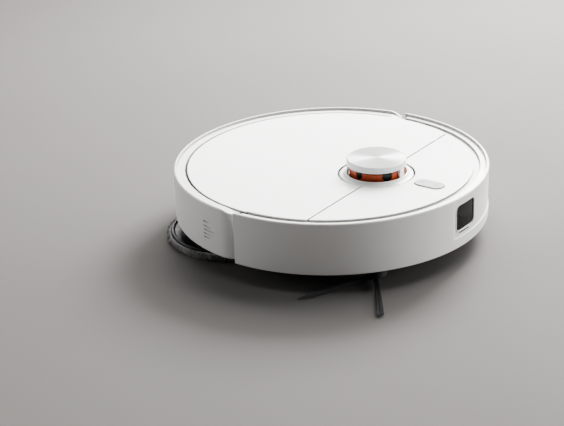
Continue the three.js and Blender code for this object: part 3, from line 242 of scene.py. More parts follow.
def spun_aluminium():
    """Lathe-turned, anodised aluminium: rings a third of a millimetre apart, drawn 0.8 mm apart so that
    they show, and a gloss that is stretched into two bright fans. The stretch is turned by the rotation
    below, so that the fans lie level from the camera's side."""
    made, tree, shader, place = finish_for("spun_aluminium", Metallic=0.7, Anisotropic=0.9,
                                           Anisotropic_Rotation=0.15)
    centre = add(tree, "Mapping", {"Vector": place, "Location": (0, -TURRET.y * MM, 0)})
    rings = add(tree, "TexWave", {"Vector": centre.outputs["Vector"], "Scale": per(0.8) * WAVE,
                                  "Distortion": 0.4, "Detail": 2, "Detail Scale": 4},
                wave_type="RINGS", rings_direction="Z")
    tone = add(tree, "Mix", {0: rings.outputs["Fac"], 6: paint("#868686"), 7: paint("#989897")},
               data_type="RGBA").outputs[2]
    tree.links.new(tone, shader.inputs["Base Color"])
    smear = add(tree, "TexNoise", {"Vector": place, "Scale": per(9), "Detail": 4})
    sheen = add(tree, "MapRange", {"Value": smear.outputs["Fac"], "From Min": 0.3, "From Max": 0.7,
                                   "To Min": 0.27, "To Max": 0.32})
    tree.links.new(sheen.outputs["Result"], shader.inputs["Roughness"])
    round_axis = add(tree, "Tangent", {}, direction_type="RADIAL", axis="Z")
    tree.links.new(round_axis.outputs["Tangent"], shader.inputs["Tangent"])
    skin = add(tree, "Bump", {"Height": rings.outputs["Fac"], "Strength": 0.15, "Distance": 0.02 * MM})
    tree.links.new(skin.outputs["Normal"], shader.inputs["Normal"])
    return made


def turned_metal(name, light, dark, line, gloss):
    """Machined or drawn metal: fine lines along the work with small differences in tone."""
    made, tree, shader, place = finish_for(name, Metallic=1.0)
    stretched = add(tree, "Mapping", {"Vector": place, "Scale": (per(line), per(line * 12), per(line))})
    lines = add(tree, "TexNoise", {"Vector": stretched.outputs["Vector"], "Scale": 1, "Detail": 3})
    tone = add(tree, "Mix", {0: lines.outputs["Fac"], 6: paint(light), 7: paint(dark)},
               data_type="RGBA").outputs[2]
    tree.links.new(tone, shader.inputs["Base Color"])
    sheen = add(tree, "MapRange", {"Value": lines.outputs["Fac"], "To Min": gloss[0], "To Max": gloss[1]})
    tree.links.new(sheen.outputs["Result"], shader.inputs["Roughness"])
    skin = add(tree, "Bump", {"Height": lines.outputs["Fac"], "Strength": 0.2, "Distance": 0.03 * MM})
    tree.links.new(skin.outputs["Normal"], shader.inputs["Normal"])
    return made


def smoked_window(name, painted_reflection_line=None):
    """Black infra-red acrylic: deep gloss with wiping smears that only the reflections show. A curved
    line makes the part above it a lighter grey, a painted reflection of the room; it is given as the X and Z
    of its middle and its bend."""
    made, tree, shader, place = finish_for(name, IOR=1.49, Specular_IOR_Level=0.1)
    wiped = add(tree, "Mapping", {"Vector": place, "Scale": (1, 1, 0.25)})
    smear = add(tree, "TexNoise", {"Vector": wiped.outputs["Vector"], "Scale": per(9), "Detail": 5})
    tone = add(tree, "Mix", {0: smear.outputs["Fac"], 6: paint("#060708"), 7: paint("#101114")},
               data_type="RGBA").outputs[2]
    # the lighter grey above the curved line is a painted reflection of the room
    if painted_reflection_line:
        x, z, bend = painted_reflection_line
        place_parts = add(tree, "SeparateXYZ", {"Vector": place})
        aside = add(tree, "Math", {0: place_parts.outputs["X"], 1: x * MM}, operation="SUBTRACT")
        curve = add(tree, "Math", {0: aside.outputs[0], 1: aside.outputs[0]}, operation="MULTIPLY")
        line = add(tree, "Math", {0: curve.outputs[0], 1: -bend / MM, 2: z * MM}, operation="MULTIPLY_ADD")
        above = add(tree, "Math", {0: place_parts.outputs["Z"], 1: line.outputs[0]}, operation="SUBTRACT")
        painted_reflection_mask = add(tree, "MapRange", {"Value": above.outputs[0], "From Min": -0.4 * MM,
                                       "From Max": 0.4 * MM})
        tone = add(tree, "Mix", {0: painted_reflection_mask.outputs["Result"], 6: tone, 7: paint("#1c1d1e")},
                   data_type="RGBA").outputs[2]
    tree.links.new(tone, shader.inputs["Base Color"])
    sheen = add(tree, "MapRange", {"Value": smear.outputs["Fac"], "From Min": 0.35, "From Max": 0.75,
                                   "To Min": 0.05, "To Max": 0.16})
    tree.links.new(sheen.outputs["Result"], shader.inputs["Roughness"])
    return made


def orange_drum():
    """Burnt-orange infra-red polycarbonate: light sinks in a little, and the mould's fine vertical
    lines show as changes of tone."""
    made, tree, shader, place = finish_for("orange_polycarbonate", IOR=1.58, Specular_IOR_Level=0.12,
                                           Subsurface_Weight=0.15, Subsurface_Scale=0.002)
    upright = add(tree, "Mapping", {"Vector": place, "Scale": (per(1.1), per(1.1), per(30))})
    lines = add(tree, "TexNoise", {"Vector": upright.outputs["Vector"], "Scale": 1, "Detail": 2})
    tone = add(tree, "Mix", {0: lines.outputs["Fac"], 6: paint("#b8461a"), 7: paint("#6e2610")},
               data_type="RGBA").outputs[2]
    tree.links.new(tone, shader.inputs["Base Color"])
    sheen = add(tree, "MapRange", {"Value": lines.outputs["Fac"], "To Min": 0.18, "To Max": 0.34})
    tree.links.new(sheen.outputs["Result"], shader.inputs["Roughness"])
    return made


def tyre_rubber():
    """Moulded rubber: matt black, greyed by floor dust that sits in its pores."""
    made, tree, shader, place = finish_for("tyre_rubber", Specular_IOR_Level=0.3)
    dust = add(tree, "TexNoise", {"Vector": place, "Scale": per(5), "Detail": 6})
    dusty = add(tree, "MapRange", {"Value": dust.outputs["Fac"], "From Min": 0.42, "From Max": 0.72})
    tone = add(tree, "Mix", {0: dusty.outputs["Result"], 6: paint("#161617"), 7: paint("#3a3936")},
               data_type="RGBA").outputs[2]
    tree.links.new(tone, shader.inputs["Base Color"])
    sheen = add(tree, "MapRange", {"Value": dust.outputs["Fac"], "To Min": 0.7, "To Max": 0.95})
    tree.links.new(sheen.outputs["Result"], shader.inputs["Roughness"])
    pores = add(tree, "TexVoronoi", {"Vector": place, "Scale": per(0.9)})
    skin = add(tree, "Bump", {"Height": pores.outputs["Distance"], "Strength": 0.4, "Distance": 0.1 * MM})
    tree.links.new(skin.outputs["Normal"], shader.inputs["Normal"])
    return made


def brush_rubber():
    """Silicone roller vanes: satin dark grey, with a fine moulding rib every 2.4 mm of the length."""
    made, tree, shader, place = finish_for("roller_silicone", Sheen_Weight=0.15)
    grime = add(tree, "TexNoise", {"Vector": place, "Scale": per(11), "Detail": 4})
    tone = add(tree, "Mix", {0: grime.outputs["Fac"], 6: paint("#2b2a2b"), 7: paint("#433f3d")},
               data_type="RGBA").outputs[2]
    tree.links.new(tone, shader.inputs["Base Color"])
    sheen = add(tree, "MapRange", {"Value": grime.outputs["Fac"], "To Min": 0.5, "To Max": 0.75})
    tree.links.new(sheen.outputs["Result"], shader.inputs["Roughness"])
    ribs = add(tree, "TexWave", {"Vector": place, "Scale": per(2.4) * WAVE, "Distortion": 0.2},
               bands_direction="X")
    skin = add(tree, "Bump", {"Height": ribs.outputs["Fac"], "Strength": 0.3, "Distance": 0.1 * MM})
    tree.links.new(skin.outputs["Normal"], shader.inputs["Normal"])
    return made


def nylon_bristles(name, light, dark):
    """Nylon filaments: each a little lighter or darker than the next, with a soft shine."""
    made, tree, shader, place = finish_for(name, Specular_IOR_Level=0.4)
    filament = add(tree, "TexNoise", {"Vector": place, "Scale": per(0.8), "Detail": 1})
    tone = add(tree, "Mix", {0: filament.outputs["Fac"], 6: paint(dark), 7: paint(light)},
               data_type="RGBA").outputs[2]
    tree.links.new(tone, shader.inputs["Base Color"])
    sheen = add(tree, "MapRange", {"Value": filament.outputs["Fac"], "To Min": 0.38, "To Max": 0.62})
    tree.links.new(sheen.outputs["Result"], shader.inputs["Roughness"])
    return made


def mop_cloth():
    """Looped microfibre in dark grey: clumps of a few millimetres, pale worn tips and deep shade
    between them, with the velvety edge light of cloth."""
    made, tree, shader, place = finish_for("looped_microfibre", Roughness=0.95, Sheen_Weight=0.5,
                                           Sheen_Roughness=0.5)
    loops = add(tree, "TexVoronoi", {"Vector": place, "Scale": per(2.2)})
    tangle = add(tree, "TexNoise", {"Vector": place, "Scale": per(1.0), "Detail": 4})
    mixed = add(tree, "Math", {0: loops.outputs["Distance"], 1: tangle.outputs["Fac"]}, operation="MULTIPLY")
    depth = add(tree, "MapRange", {"Value": mixed.outputs[0], "From Min": 0.05, "From Max": 0.45})
    tone = add(tree, "Mix", {0: depth.outputs["Result"], 6: paint("#bdb8b3"), 7: paint("#4c4a4b")},
               data_type="RGBA").outputs[2]
    broad = add(tree, "TexNoise", {"Vector": place, "Scale": per(24), "Detail": 3})
    damp = add(tree, "MapRange", {"Value": broad.outputs["Fac"], "From Min": 0.35, "From Max": 0.7,
                                  "To Max": 0.45})
    wetted = add(tree, "Mix", {0: damp.outputs["Result"], 6: tone, 7: paint("#757375")},
                 data_type="RGBA").outputs[2]
    tree.links.new(wetted, shader.inputs["Base Color"])
    skin = add(tree, "Bump", {"Height": mixed.outputs[0], "Strength": 0.8, "Distance": 0.9 * MM},
               invert=True)
    tree.links.new(skin.outputs["Normal"], shader.inputs["Normal"])
    return made


def smoked_bin():
    """Smoked transparent styrene: dark grey, see-through, with fine scratches and settled dust."""
    made, tree, shader, place = finish_for("smoked_styrene", IOR=1.55, Transmission_Weight=0.3)
    dust = add(tree, "TexNoise", {"Vector": place, "Scale": per(18), "Detail": 6})
    tone = add(tree, "Mix", {0: dust.outputs["Fac"], 6: paint("#5f6267"), 7: paint("#85827c")},
               data_type="RGBA").outputs[2]
    tree.links.new(tone, shader.inputs["Base Color"])
    scuffs = add(tree, "TexNoise", {"Vector": place, "Scale": per(6), "Detail": 3, "Distortion": 1})
    sheen = add(tree, "MapRange", {"Value": scuffs.outputs["Fac"], "From Min": 0.4, "From Max": 0.7,
                                   "To Min": 0.14, "To Max": 0.26})
    tree.links.new(sheen.outputs["Result"], shader.inputs["Roughness"])
    return made


def pleated_filter():
    """Pleated glass-fibre paper: folds every three millimetres, grey dust along their crests."""
    made, tree, shader, place = finish_for("pleated_paper", Roughness=0.95)
    folds = add(tree, "TexWave", {"Vector": place, "Scale": per(3) * WAVE}, bands_direction="X",
                wave_profile="TRI")
    tone = add(tree, "Mix", {0: folds.outputs["Fac"], 6: paint("#a5a29a"), 7: paint("#efede6")},
               data_type="RGBA").outputs[2]
    tree.links.new(tone, shader.inputs["Base Color"])
    skin = add(tree, "Bump", {"Height": folds.outputs["Fac"], "Distance": 1.5 * MM})
    tree.links.new(skin.outputs["Normal"], shader.inputs["Normal"])
    return made


def circuit_board():
    """Glass-fibre board under green solder mask: copper tracks show paler, with tinned pads."""
    made, tree, shader, place = finish_for("solder_mask_board", Coat_Weight=0.3)
    tracks = add(tree, "TexBrick", {"Vector": place, "Scale": per(9), "Mortar Size": 0.06,
                                    "Color1": paint("#17492f"), "Color2": paint("#1d5638"),
                                    "Mortar": paint("#2f7a52")})
    pads = add(tree, "TexVoronoi", {"Vector": place, "Scale": per(4.5)})
    tinned = add(tree, "MapRange", {"Value": pads.outputs["Distance"], "From Min": 0.1, "From Max": 0.14,
                                    "To Min": 1, "To Max": 0})
    tone = add(tree, "Mix", {0: tinned.outputs["Result"], 6: tracks.outputs["Color"], 7: paint("#b9bab6")},
               data_type="RGBA").outputs[2]
    tree.links.new(tone, shader.inputs["Base Color"])
    sheen = add(tree, "MapRange", {"Value": pads.outputs["Distance"], "To Min": 0.25, "To Max": 0.5})
    tree.links.new(sheen.outputs["Result"], shader.inputs["Roughness"])
    return made


def warm_grey_floor():
    """A seamless sheet of warm grey vinyl: barely mottled and almost matt."""
    made, tree, shader, place = finish_for("vinyl_sheet", Specular_IOR_Level=0.06)
    broad = add(tree, "TexNoise", {"Vector": place, "Scale": per(420), "Detail": 4})
    tone = add(tree, "Mix", {0: broad.outputs["Fac"], 6: paint("#62605e"), 7: paint("#5a5755")},
               data_type="RGBA").outputs[2]
    tree.links.new(tone, shader.inputs["Base Color"])
    sheen = add(tree, "MapRange", {"Value": broad.outputs["Fac"], "To Min": 0.7, "To Max": 0.85})
    tree.links.new(sheen.outputs["Result"], shader.inputs["Roughness"])
    return made


FINISH = {
    "shell": moulded("satin_white_abs", "#edece9", "#e6e5e2", 0.5, 0.04, (0.34, 0.46), Coat_Weight=0.1),
    # the band's white is darker than the shell's: partly its own cooler tint, partly painted shade on the
    # turret's side
    "band": moulded("cool_white_abs_painted_shade", "#cfd0d3", "#c8c9cc", 0.5, 0.03, (0.34, 0.44)),
    # a grey that stands for painted shade on the rims' inner walls and under the lids' edges
    "groove": moulded("painted_shade_grey_abs", "#8d8c89", "#82817e", 0.5, 0.04, (0.5, 0.62)),
    "lid": clear_coated_lid(),
    "chassis": moulded("black_polypropylene", "#19191b", "#212123", 0.7, 0.15, (0.55, 0.66), "#57544f",
                       Specular_IOR_Level=0.28),
    "window": smoked_window("smoked_acrylic"),
    # the pane's lighter upper part is a painted reflection
    "pane": smoked_window("acrylic_with_painted_reflection", (-1.0, 54.5, -0.02)),
    "cap": spun_aluminium(),
    "drum": orange_drum(),
    "button": moulded("pearl_grey_abs", "#adadac", "#a4a4a3", 0.4, 0.03, (0.55, 0.66),
                      Specular_IOR_Level=0.2),
    "icon": moulded("grey_pad_print", "#55565a", "#606165", 0.3, 0.02, (0.6, 0.7), Specular_IOR_Level=0.15),
    "tyre": tyre_rubber(),
    "roller": brush_rubber(),
    "bristle": nylon_bristles("black_nylon", "#2c2c2f", "#0e0e10"),
    "brush_row": nylon_bristles("orange_nylon", "#d0602c", "#93391a"),
    "cloth": mop_cloth(),
    "plate": moulded("gloss_black_abs", "#131315", "#1c1c1e", 0.5, 0.06, (0.34, 0.5), "#4a4843",
                     Specular_IOR_Level=0.3),
    "floor": warm_grey_floor(),
}

# the finish of every CAD node that keeps its own shape
NODE_FINISH = {
    "cassette": moulded("black_nylon_case", "#1d1d1f", "#29292b", 0.9, 0.2, (0.55, 0.8), "#55524c"),
    "gear": moulded("grey_acetal", "#3b3c3f", "#4a4b4e", 0.6, 0.1, (0.4, 0.6)),
    "steel": turned_metal("drawn_steel", "#b7b8ba", "#8f9093", 0.5, (0.22, 0.42)),
    "spring": turned_metal("oiled_spring_steel", "#8e8c88", "#5f5d5a", 0.4, (0.25, 0.5)),
    "gold": turned_metal("plated_contact", "#b9a377", "#94825e", 0.35, (0.2, 0.38)),
    "board": circuit_board(),
    "camera": moulded("camera_body_black", "#17181b", "#202226", 0.5, 0.08, (0.35, 0.6)),
    "hub": moulded("grey_glass_nylon", "#494a4d", "#58595c", 0.8, 0.15, (0.45, 0.7), "#6f6c66"),
    "latch": moulded("orange_abs", "#c4551f", "#b34a18", 0.5, 0.06, (0.35, 0.5)),
    "cap_grey": moulded("grey_end_cap_abs", "#8f9296", "#a0a3a6", 0.5, 0.08, (0.4, 0.55)),
    "bin": smoked_bin(),
    "bin_dark": moulded("dark_bin_abs", "#2b2d30", "#35373a", 0.6, 0.08, (0.35, 0.55)),
    "filter": pleated_filter(),
    "battery": moulded("blue_shrink_film", "#2a59a0", "#34689f", 2.5, 0.3, (0.25, 0.45)),
    "impeller": moulded("ivory_pbt", "#d6d3cb", "#c9c6bd", 0.6, 0.06, (0.35, 0.5)),
    "speaker": moulded("black_paper_cone", "#1d1c1b", "#2a2826", 1.6, 0.3, (0.7, 0.9)),
}


# ------------------------------------------------------------------ modelling
def outline(points, rounding=(), closed=True):
    """a loop of corners in X and Z; rounding lists (radius, corner numbers)"""
    bm = bmesh.new()
    corners = [bm.verts.new((x, 0, z)) for x, z in points]
    onward = corners[1:] + (corners[:1] if closed else [])
    for one, two in zip(corners, onward):
        bm.edges.new((one, two))
    for radius, places in rounding:
        bmesh.ops.bevel(bm, geom=[corners[i] for i in places], offset=radius, segments=5, profile=0.5,
                        material=-1, affect="VERTICES")
    return bm


def chain(points, rounding=()):
    """an open outline whose two ends lie on the axis"""
    return outline(points, rounding, closed=False)


def spun(bm, steps=ROUND, start=0.0, sweep=360.0):
    """turns an outline about Z, and closes its two ends where it stops short of a full turn"""
    bmesh.ops.rotate(bm, verts=bm.verts, matrix=Matrix.Rotation(math.radians(start), 3, "Z"))
    full = sweep == 360.0
    bmesh.ops.spin(bm, geom=bm.verts[:] + bm.edges[:], cent=(0, 0, 0), axis=(0, 0, 1),
                   angle=math.radians(sweep), steps=steps, use_merge=full)
    if not full:
        bmesh.ops.holes_fill(bm, edges=[e for e in bm.edges if e.is_boundary], sides=0)
    return tidy(bm)


def tidy(bm):
    """merges doubled corners, drops slivers and turns every face outwards"""
    bmesh.ops.remove_doubles(bm, verts=bm.verts, dist=0.001)
    bmesh.ops.dissolve_degenerate(bm, edges=bm.edges, dist=0.0005)
    bmesh.ops.recalc_face_normals(bm, faces=bm.faces)
    return bm


def block(low, high):
    bm = bmesh.new()
    bmesh.ops.create_cube(bm, size=1)
    low, high = Vector(low), Vector(high)
    bmesh.ops.scale(bm, vec=high - low, verts=bm.verts)
    bmesh.ops.translate(bm, vec=(low + high) / 2, verts=bm.verts)
    return bm


def drum(radius, z0, z1, steps=64, x=0.0, y=0.0):
    bm = bmesh.new()
    bmesh.ops.create_cone(bm, cap_ends=True, segments=steps, radius1=radius, radius2=radius, depth=z1 - z0)
    bmesh.ops.translate(bm, vec=(x, y, (z0 + z1) / 2), verts=bm.verts)
    return bm


def pill(width, length, corner, z0, z1, steps=12):
    """a slab with rounded corners seen from above, centred on the origin"""
    bm = block((-width / 2, -length / 2, z0), (width / 2, length / 2, z1))
    upright = [e for e in bm.edges if abs(e.verts[0].co.z - e.verts[1].co.z) > 0.01]
    bmesh.ops.bevel(bm, geom=upright, offset=corner, segments=steps, profile=0.5, material=-1,
                    affect="EDGES", clamp_overlap=True)
    return bm


def moved(bm, x=0.0, y=0.0, z=0.0, turn=0.0, axis="Z"):
    bmesh.ops.rotate(bm, verts=bm.verts, matrix=Matrix.Rotation(math.radians(turn), 3, axis))
    bmesh.ops.translate(bm, vec=(x, y, z), verts=bm.verts)
    return bm


def mesh_of(bm, name):
    """the mesh of a bmesh that isn't needed any more"""
    mesh = bpy.data.meshes.new(name)
    bm.to_mesh(mesh)
    bm.free()
    return mesh


def joined(*parts):
    whole = bmesh.new()
    for part in parts:
        mesh = mesh_of(part, "part")
        whole.from_mesh(mesh)
        bpy.data.meshes.remove(mesh)
    return whole


def carved(bm, *tools, keep="DIFFERENCE"):
    """cuts a body with each tool in turn"""
    for tool in tools:
        pair = [in_scene("carving", mesh_of(shape, "carving")) for shape in (bm, tool)]
        knife = pair[0].modifiers.new("knife", "BOOLEAN")
        knife.object = pair[1]
        knife.operation = keep
        knife.solver = "EXACT"
        bm = bmesh.new()
        bm.from_object(pair[0], bpy.context.evaluated_depsgraph_get())
        for used in pair:
            mesh = used.data
            bpy.data.objects.remove(used)
            bpy.data.meshes.remove(mesh)
    return bm


def topmost(z):
    """a test for the edges that lie at this height"""
    return lambda e: all(v.co.z > z - 0.01 for v in e.verts)


def share(value):
    """keeps a value between 0 and 1"""
    return min(max(value, 0), 1)


def softened(bm, width, chosen, steps=3):
    """rounds the edges that the test picks"""
    picked = [e for e in bm.edges if len(e.link_faces) == 2 and e.calc_face_angle(0) > 0.6 and chosen(e)]
    bmesh.ops.bevel(bm, geom=picked, offset=width, segments=steps, profile=0.5, material=-1,
                    affect="EDGES", clamp_overlap=True)
    return bm


def finished(bm, name, body, finish, stands_for=(), sharp=35):
    """makes the object: metres, smooth faces with crisp corners, its body and its finish"""
    bmesh.ops.scale(bm, vec=(MM, MM, MM), verts=bm.verts)
    mesh = mesh_of(bm, name)
    mesh.shade_smooth()
    mesh.set_sharp_from_angle(angle=math.radians(sharp))
    mesh.materials.append(finish)
    piece = in_scene(name, mesh)
    even = piece.modifiers.new("even_faces", "WEIGHTED_NORMAL")
    even.keep_sharp = True
    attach(piece, body)
    if stands_for:
        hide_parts(*stands_for)
    return piece


# ------------------------------------------------------------------ shells
def rim_section(inner_r, foot):
    """the corners of a rim from its outer edge inwards: a narrow crest, a step down and a shelf that
    rises a little towards the lids"""
    shelf = LID_Z - 0.2
    return [(BODY_R, RIM_Z), (CREST_R, RIM_Z), (CREST_R - 0.7, shelf - 0.5), (inner_r, shelf),
            (inner_r, foot), (inner_r + SHELL_T, foot), (inner_r + SHELL_T, shelf - SHELL_T),
            (BODY_R - EDGE_R - SHELL_T, shelf - SHELL_T), (BODY_R - SHELL_T, RIM_Z - EDGE_R)]


def toned(piece, *zones):
    """gives the faces that each zone's test picks that zone's finish"""
    for number, (finish, chosen) in enumerate(zones, 1):
        piece.data.materials.append(finish)
        for face in piece.data.polygons:
            if chosen(face.center / MM, face.normal):
                face.material_index = number


def rim_zones(inner_r):
    """the low wall between the crest and the shelf, and the wall that drops beside the lids, take a grey that
    is painted shade
    """
    def step(centre, normal):
        beside = abs(centre.xy.length - CREST_R + 0.35) < 0.7
        return beside and LID_Z - 0.9 < centre.z < RIM_Z - 0.1 and \
            normal.xy.dot(centre.xy) < -0.5 * centre.xy.length

    def drop(centre, _):
        return abs(centre.xy.length - inner_r) < 0.6 and centre.z < LID_Z - 0.25

    return (FINISH["groove"], step), (FINISH["groove"], drop)


def bumper_shell():
    """the front half of the skirt and its rim, with a shallow hollow round the camera window; the rim's
    shelf stops short of the two ends, so that it clears the rear rim when the bumper is pushed"""
    low = BUMPER[0].z
    hollow_foot, hollow_top = 35.2, 75
    hollow_depth, hollow_span = 1.1, 42  # millimetres, and degrees round the body
    wall = [(BODY_R, z) for z in (low, 30, hollow_foot, 36.2, 42, 52, 62, 70)]
    section = outline(wall + rim_section(RIM_IN_R, LID_Z - 2.6) + [(BODY_R - SHELL_T, low)],
                      [(0.9, [0]), (EDGE_R, [8]), (0.3, [9]), (0.2, [10]), (0.5, [11])])
    shell = spun(section, 240, 180 - JOINT, 180 + 2 * JOINT)
    first = math.degrees(math.atan2(WINDOW[0].x - 6, BODY_R))
    for v in shell.verts:
        turn = math.degrees(math.atan2(v.co.x, -v.co.y))
        across = share((turn - first) / 1.2) * share((first + hollow_span - turn) / 6)
        up = share((v.co.z - hollow_foot) / 0.9) * share((hollow_top - v.co.z) / 9)
        if math.hypot(v.co.x, v.co.y) > BODY_R - 1.5:
            v.co.xy *= 1 - hollow_depth * across * up / BODY_R
    centre = (WINDOW[0] + WINDOW[1]) / 2
    size = WINDOW[1] - WINDOW[0]
    room = 1.6
    opening = pill(size.x + room, size.z + room, 5.6, -12, 12)
    opening = moved(opening, centre.x, -BODY_R, centre.z, 90, "X")
    inner_rim = carved(drum(CREST_R - 0.9, LID_Z - 6, LID_Z + 12, ROUND),
                       block((-FAR, -FAR, 0), (FAR, 1, FAR)))
    shell = carved(tidy(shell), tidy(opening), inner_rim)
    shell = finished(shell, "bumper_shell", "bumper", FINISH["shell"], ["bumper"])
    # paints shade grey on the rim's inner walls
    toned(shell, *rim_zones(RIM_IN_R))


def wrapped(bm, radius, x, z):
    """stands a flat shape up, its top outwards, and bends it round the body"""
    for v in bm.verts:
        turn = (v.co.x + x) / radius
        reach = radius + v.co.z
        v.co = Vector((reach * math.sin(turn), -reach * math.cos(turn), v.co.y + z))
    bmesh.ops.recalc_face_normals(bm, faces=bm.faces)
    return bm


def grid_pill(width, length, corner, z0, z1):
    """a pill cut into narrow strips, so that it can be bent"""
    bm = pill(width, length, corner, z0, z1)
    strips = 12
    for step in range(1, strips):
        x = width * (step / strips - 0.5)
        bmesh.ops.bisect_plane(bm, geom=bm.verts[:] + bm.edges[:] + bm.faces[:], plane_co=(x, 0, 0),
                               plane_no=(1, 0, 0), dist=0.0001)
    return bm


def camera_window():
    """the glossy pane in a thin raised frame, and the narrow slot of the line laser under it"""
    centre = (WINDOW[0] + WINDOW[1]) / 2
    size = WINDOW[1] - WINDOW[0]
    pane = wrapped(grid_pill(size.x, size.z, 4.9, -1.8, 0), -WINDOW[0].y, centre.x, centre.z)
    finished(pane, "window_pane", "bumper", FINISH["pane"], ["bumper_window"])
    edge = carved(grid_pill(size.x, size.z, 4.9, -1.2, 0.08),
                  grid_pill(size.x - 2.6, size.z - 2.6, 3.7, -5, 5))
    finished(wrapped(edge, -WINDOW[0].y, centre.x, centre.z), "window_print", "bumper", FINISH["window"], ())
    frame_top = 0.35
    ring = softened(carved(grid_pill(size.x + 2.8, size.z + 2.8, 6.3, -2.4, frame_top),
                           grid_pill(size.x + 0.5, size.z + 0.5, 5.1, -5, 5)),
                    0.45, topmost(frame_top))
    ring = wrapped(ring, BODY_R - 0.7, centre.x, centre.z)
    finished(ring, "window_frame", "bumper", FINISH["shell"], ())
    slot = wrapped(grid_pill(19, 1.4, 0.65, -1, 0.1), BODY_R - 1.05, WINDOW[0].x + 14.5, WINDOW[0].z - 2.7)
    finished(slot, "laser_slot", "bumper", FINISH["window"], ())


def camera_block():
    """the block with two lenses, its front set back a little so that the curved pane clears it when the
    bumper is pushed"""
    lens_depth, set_back = 3.5, 3.2
    body = clean_copy("front_camera")
    front = min(v.co.y for v in body.verts)
    for v in body.verts:
        if v.co.y < front + lens_depth:
            v.co.y += set_back
    finished(body, "camera_block", "body", NODE_FINISH["camera"], ["front_camera"])


SPEAKER_SLOTS = ((60, 9.3), (54.6, 13.1), (50.5, 18.1), (46, 15.2), (42, 10.6))  # height and length
SLOT_HALF = 0.95  # half of a slot's own height
SLOT_DEPTH = 2.3


def rear_shell():
    """the rear skirt: its front edges curve inwards behind the bumper's ends, and its rim dips there"""
    low = HOUSING_Z
    curl_depth, curl_span = 7.6, 5.6  # millimetres, and degrees behind the front edge
    dip_depth, dip_end, dip_span = 3.4, 8.4, 4.8  # millimetres, and degrees behind the widest place
    section = outline([(BODY_R, low), (BODY_R, 40), (BODY_R, 60)] + rim_section(REAR_RIM_IN_R, LID_Z - 5.8) +
                      [(BODY_R - SHELL_T, low)],
                      [(0.9, [0]), (EDGE_R, [3]), (0.3, [4]), (0.2, [5]), (0.5, [6])])
    start = 0.6 + JOINT
    shell = spun(section, 300, start, 180 - 2 * start)
    for v in shell.verts:
        behind = math.degrees(math.atan2(v.co.y, abs(v.co.x)))
        reach = share(1 - (behind - start) / curl_span)
        inward = curl_depth * (1 - math.sqrt(max(1 - reach * reach, 0)))
        lowered = share((dip_end - behind) / dip_span)
        lowered = lowered * lowered * (3 - 2 * lowered)
        v.co.xy *= 1 - inward / BODY_R
        if v.co.z > LID_Z - 1.5:
            v.co.z -= dip_depth * lowered * min((v.co.z - LID_Z + 1.5) / 2, 1)
    slots = [moved(block((-BODY_R - 3, -length / 2, z - SLOT_HALF),
                         (-BODY_R + SLOT_DEPTH, length / 2, z + SLOT_HALF)),
                   turn=math.degrees(length / 2 / BODY_R) - SPEAKER_TURN)
             for z, length in SPEAKER_SLOTS]
    gates = []
    for side in ("left", "right"):
        a, b = span("charge_contact_" + side)
        gates.append(block((a.x - 0.3, BODY_R - 8, a.z - 0.3), (b.x + 0.3, BODY_R + 9, b.z + 0.3)))
    shell = carved(tidy(shell), *slots, *gates)
    shell = finished(shell, "rear_shell", "body", FINISH["shell"], ["upper_housing"])
    # paints shade grey on the rim's inner walls
    toned(shell, *rim_zones(REAR_RIM_IN_R))


def clean_copy(node):
    """a copy of a CAD node in millimetres, with its loose triangles merged"""
    bm = bmesh.new()
    bm.from_mesh(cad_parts[node].data)
    bmesh.ops.scale(bm, vec=(1 / MM,) * 3, verts=bm.verts)
    bmesh.ops.remove_doubles(bm, verts=bm.verts, dist=0.002)
    return bm


def deck():
    """the black floor under the lids, the wall behind the bumper, and the white floor of the channel
    between the front cover and the bumper's rim; the black is partly the inner frame's own colour and partly
    painted shade for the seams above it"""
    core = clean_copy("upper_housing")
    ring = carved(drum(BODY_R + 20, 0, 120, ROUND), drum(REAR_RIM_IN_R - 0.4, -10, 130, ROUND))
    core = carved(core, ring)
    # the black here partly stands as painted shade for the seams above
    finished(core, "deck_frame", "body", FINISH["chassis"], ())
    floor_z = LID_Z - 3.3
    section = outline([(COVER_R - 2, floor_z - 1), (RIM_IN_R - 0.3, floor_z - 1),
                       (RIM_IN_R - 0.3, floor_z + 0.25), (COVER_R - 2, floor_z + 0.25)], [(0.2, [2, 3])])
    finished(spun(section, 160, 180.5, 179), "channel_floor", "body", FINISH["shell"], ())


def panel(radius, top, thick, keep_front, seam_gap):
    """half of a round lid: cut at the seam, and cut away round the turret"""
    disc_body = drum(radius, top - thick, top, ROUND)
    seam_y = span("front_cover")[1].y - seam_gap if keep_front else span("rear_lid")[0].y + seam_gap
    spare = block((-FAR, seam_y, 0), (FAR, FAR, 200)) if keep_front else \
        block((-FAR, -FAR, 0), (FAR, seam_y, 200))
    return carved(disc_body, spare, drum(FOOT_R + 0.9 + 2 * seam_gap, 0, 200, 128, TURRET.x, TURRET.y))


# the sheets of a lid: how far each is set back from the round edge and from the seam, its top and its
# thickness
SHEETS = (("skin", 1.6, 0.65, LID_Z, 0.6), ("carrier", 1.75, 1.05, LID_Z - 0.6, 2.3))
SKIN_EDGE = 0.45  # rounding of a skin's upper edge


def sheet_of(node, part, layer, body):
    """finishes one sheet of a lid: the white skin, or the carrier under it, whose grey is painted shade"""
    if part == "skin":
        layer = softened(layer, SKIN_EDGE, topmost(LID_Z))
        finished(layer, node + "_skin", body, FINISH["lid"], [node])
    else:
        # the carrier's grey is painted shade: it draws the dark line round each lid
        finished(layer, node + "_carrier", body, FINISH["groove"], ())


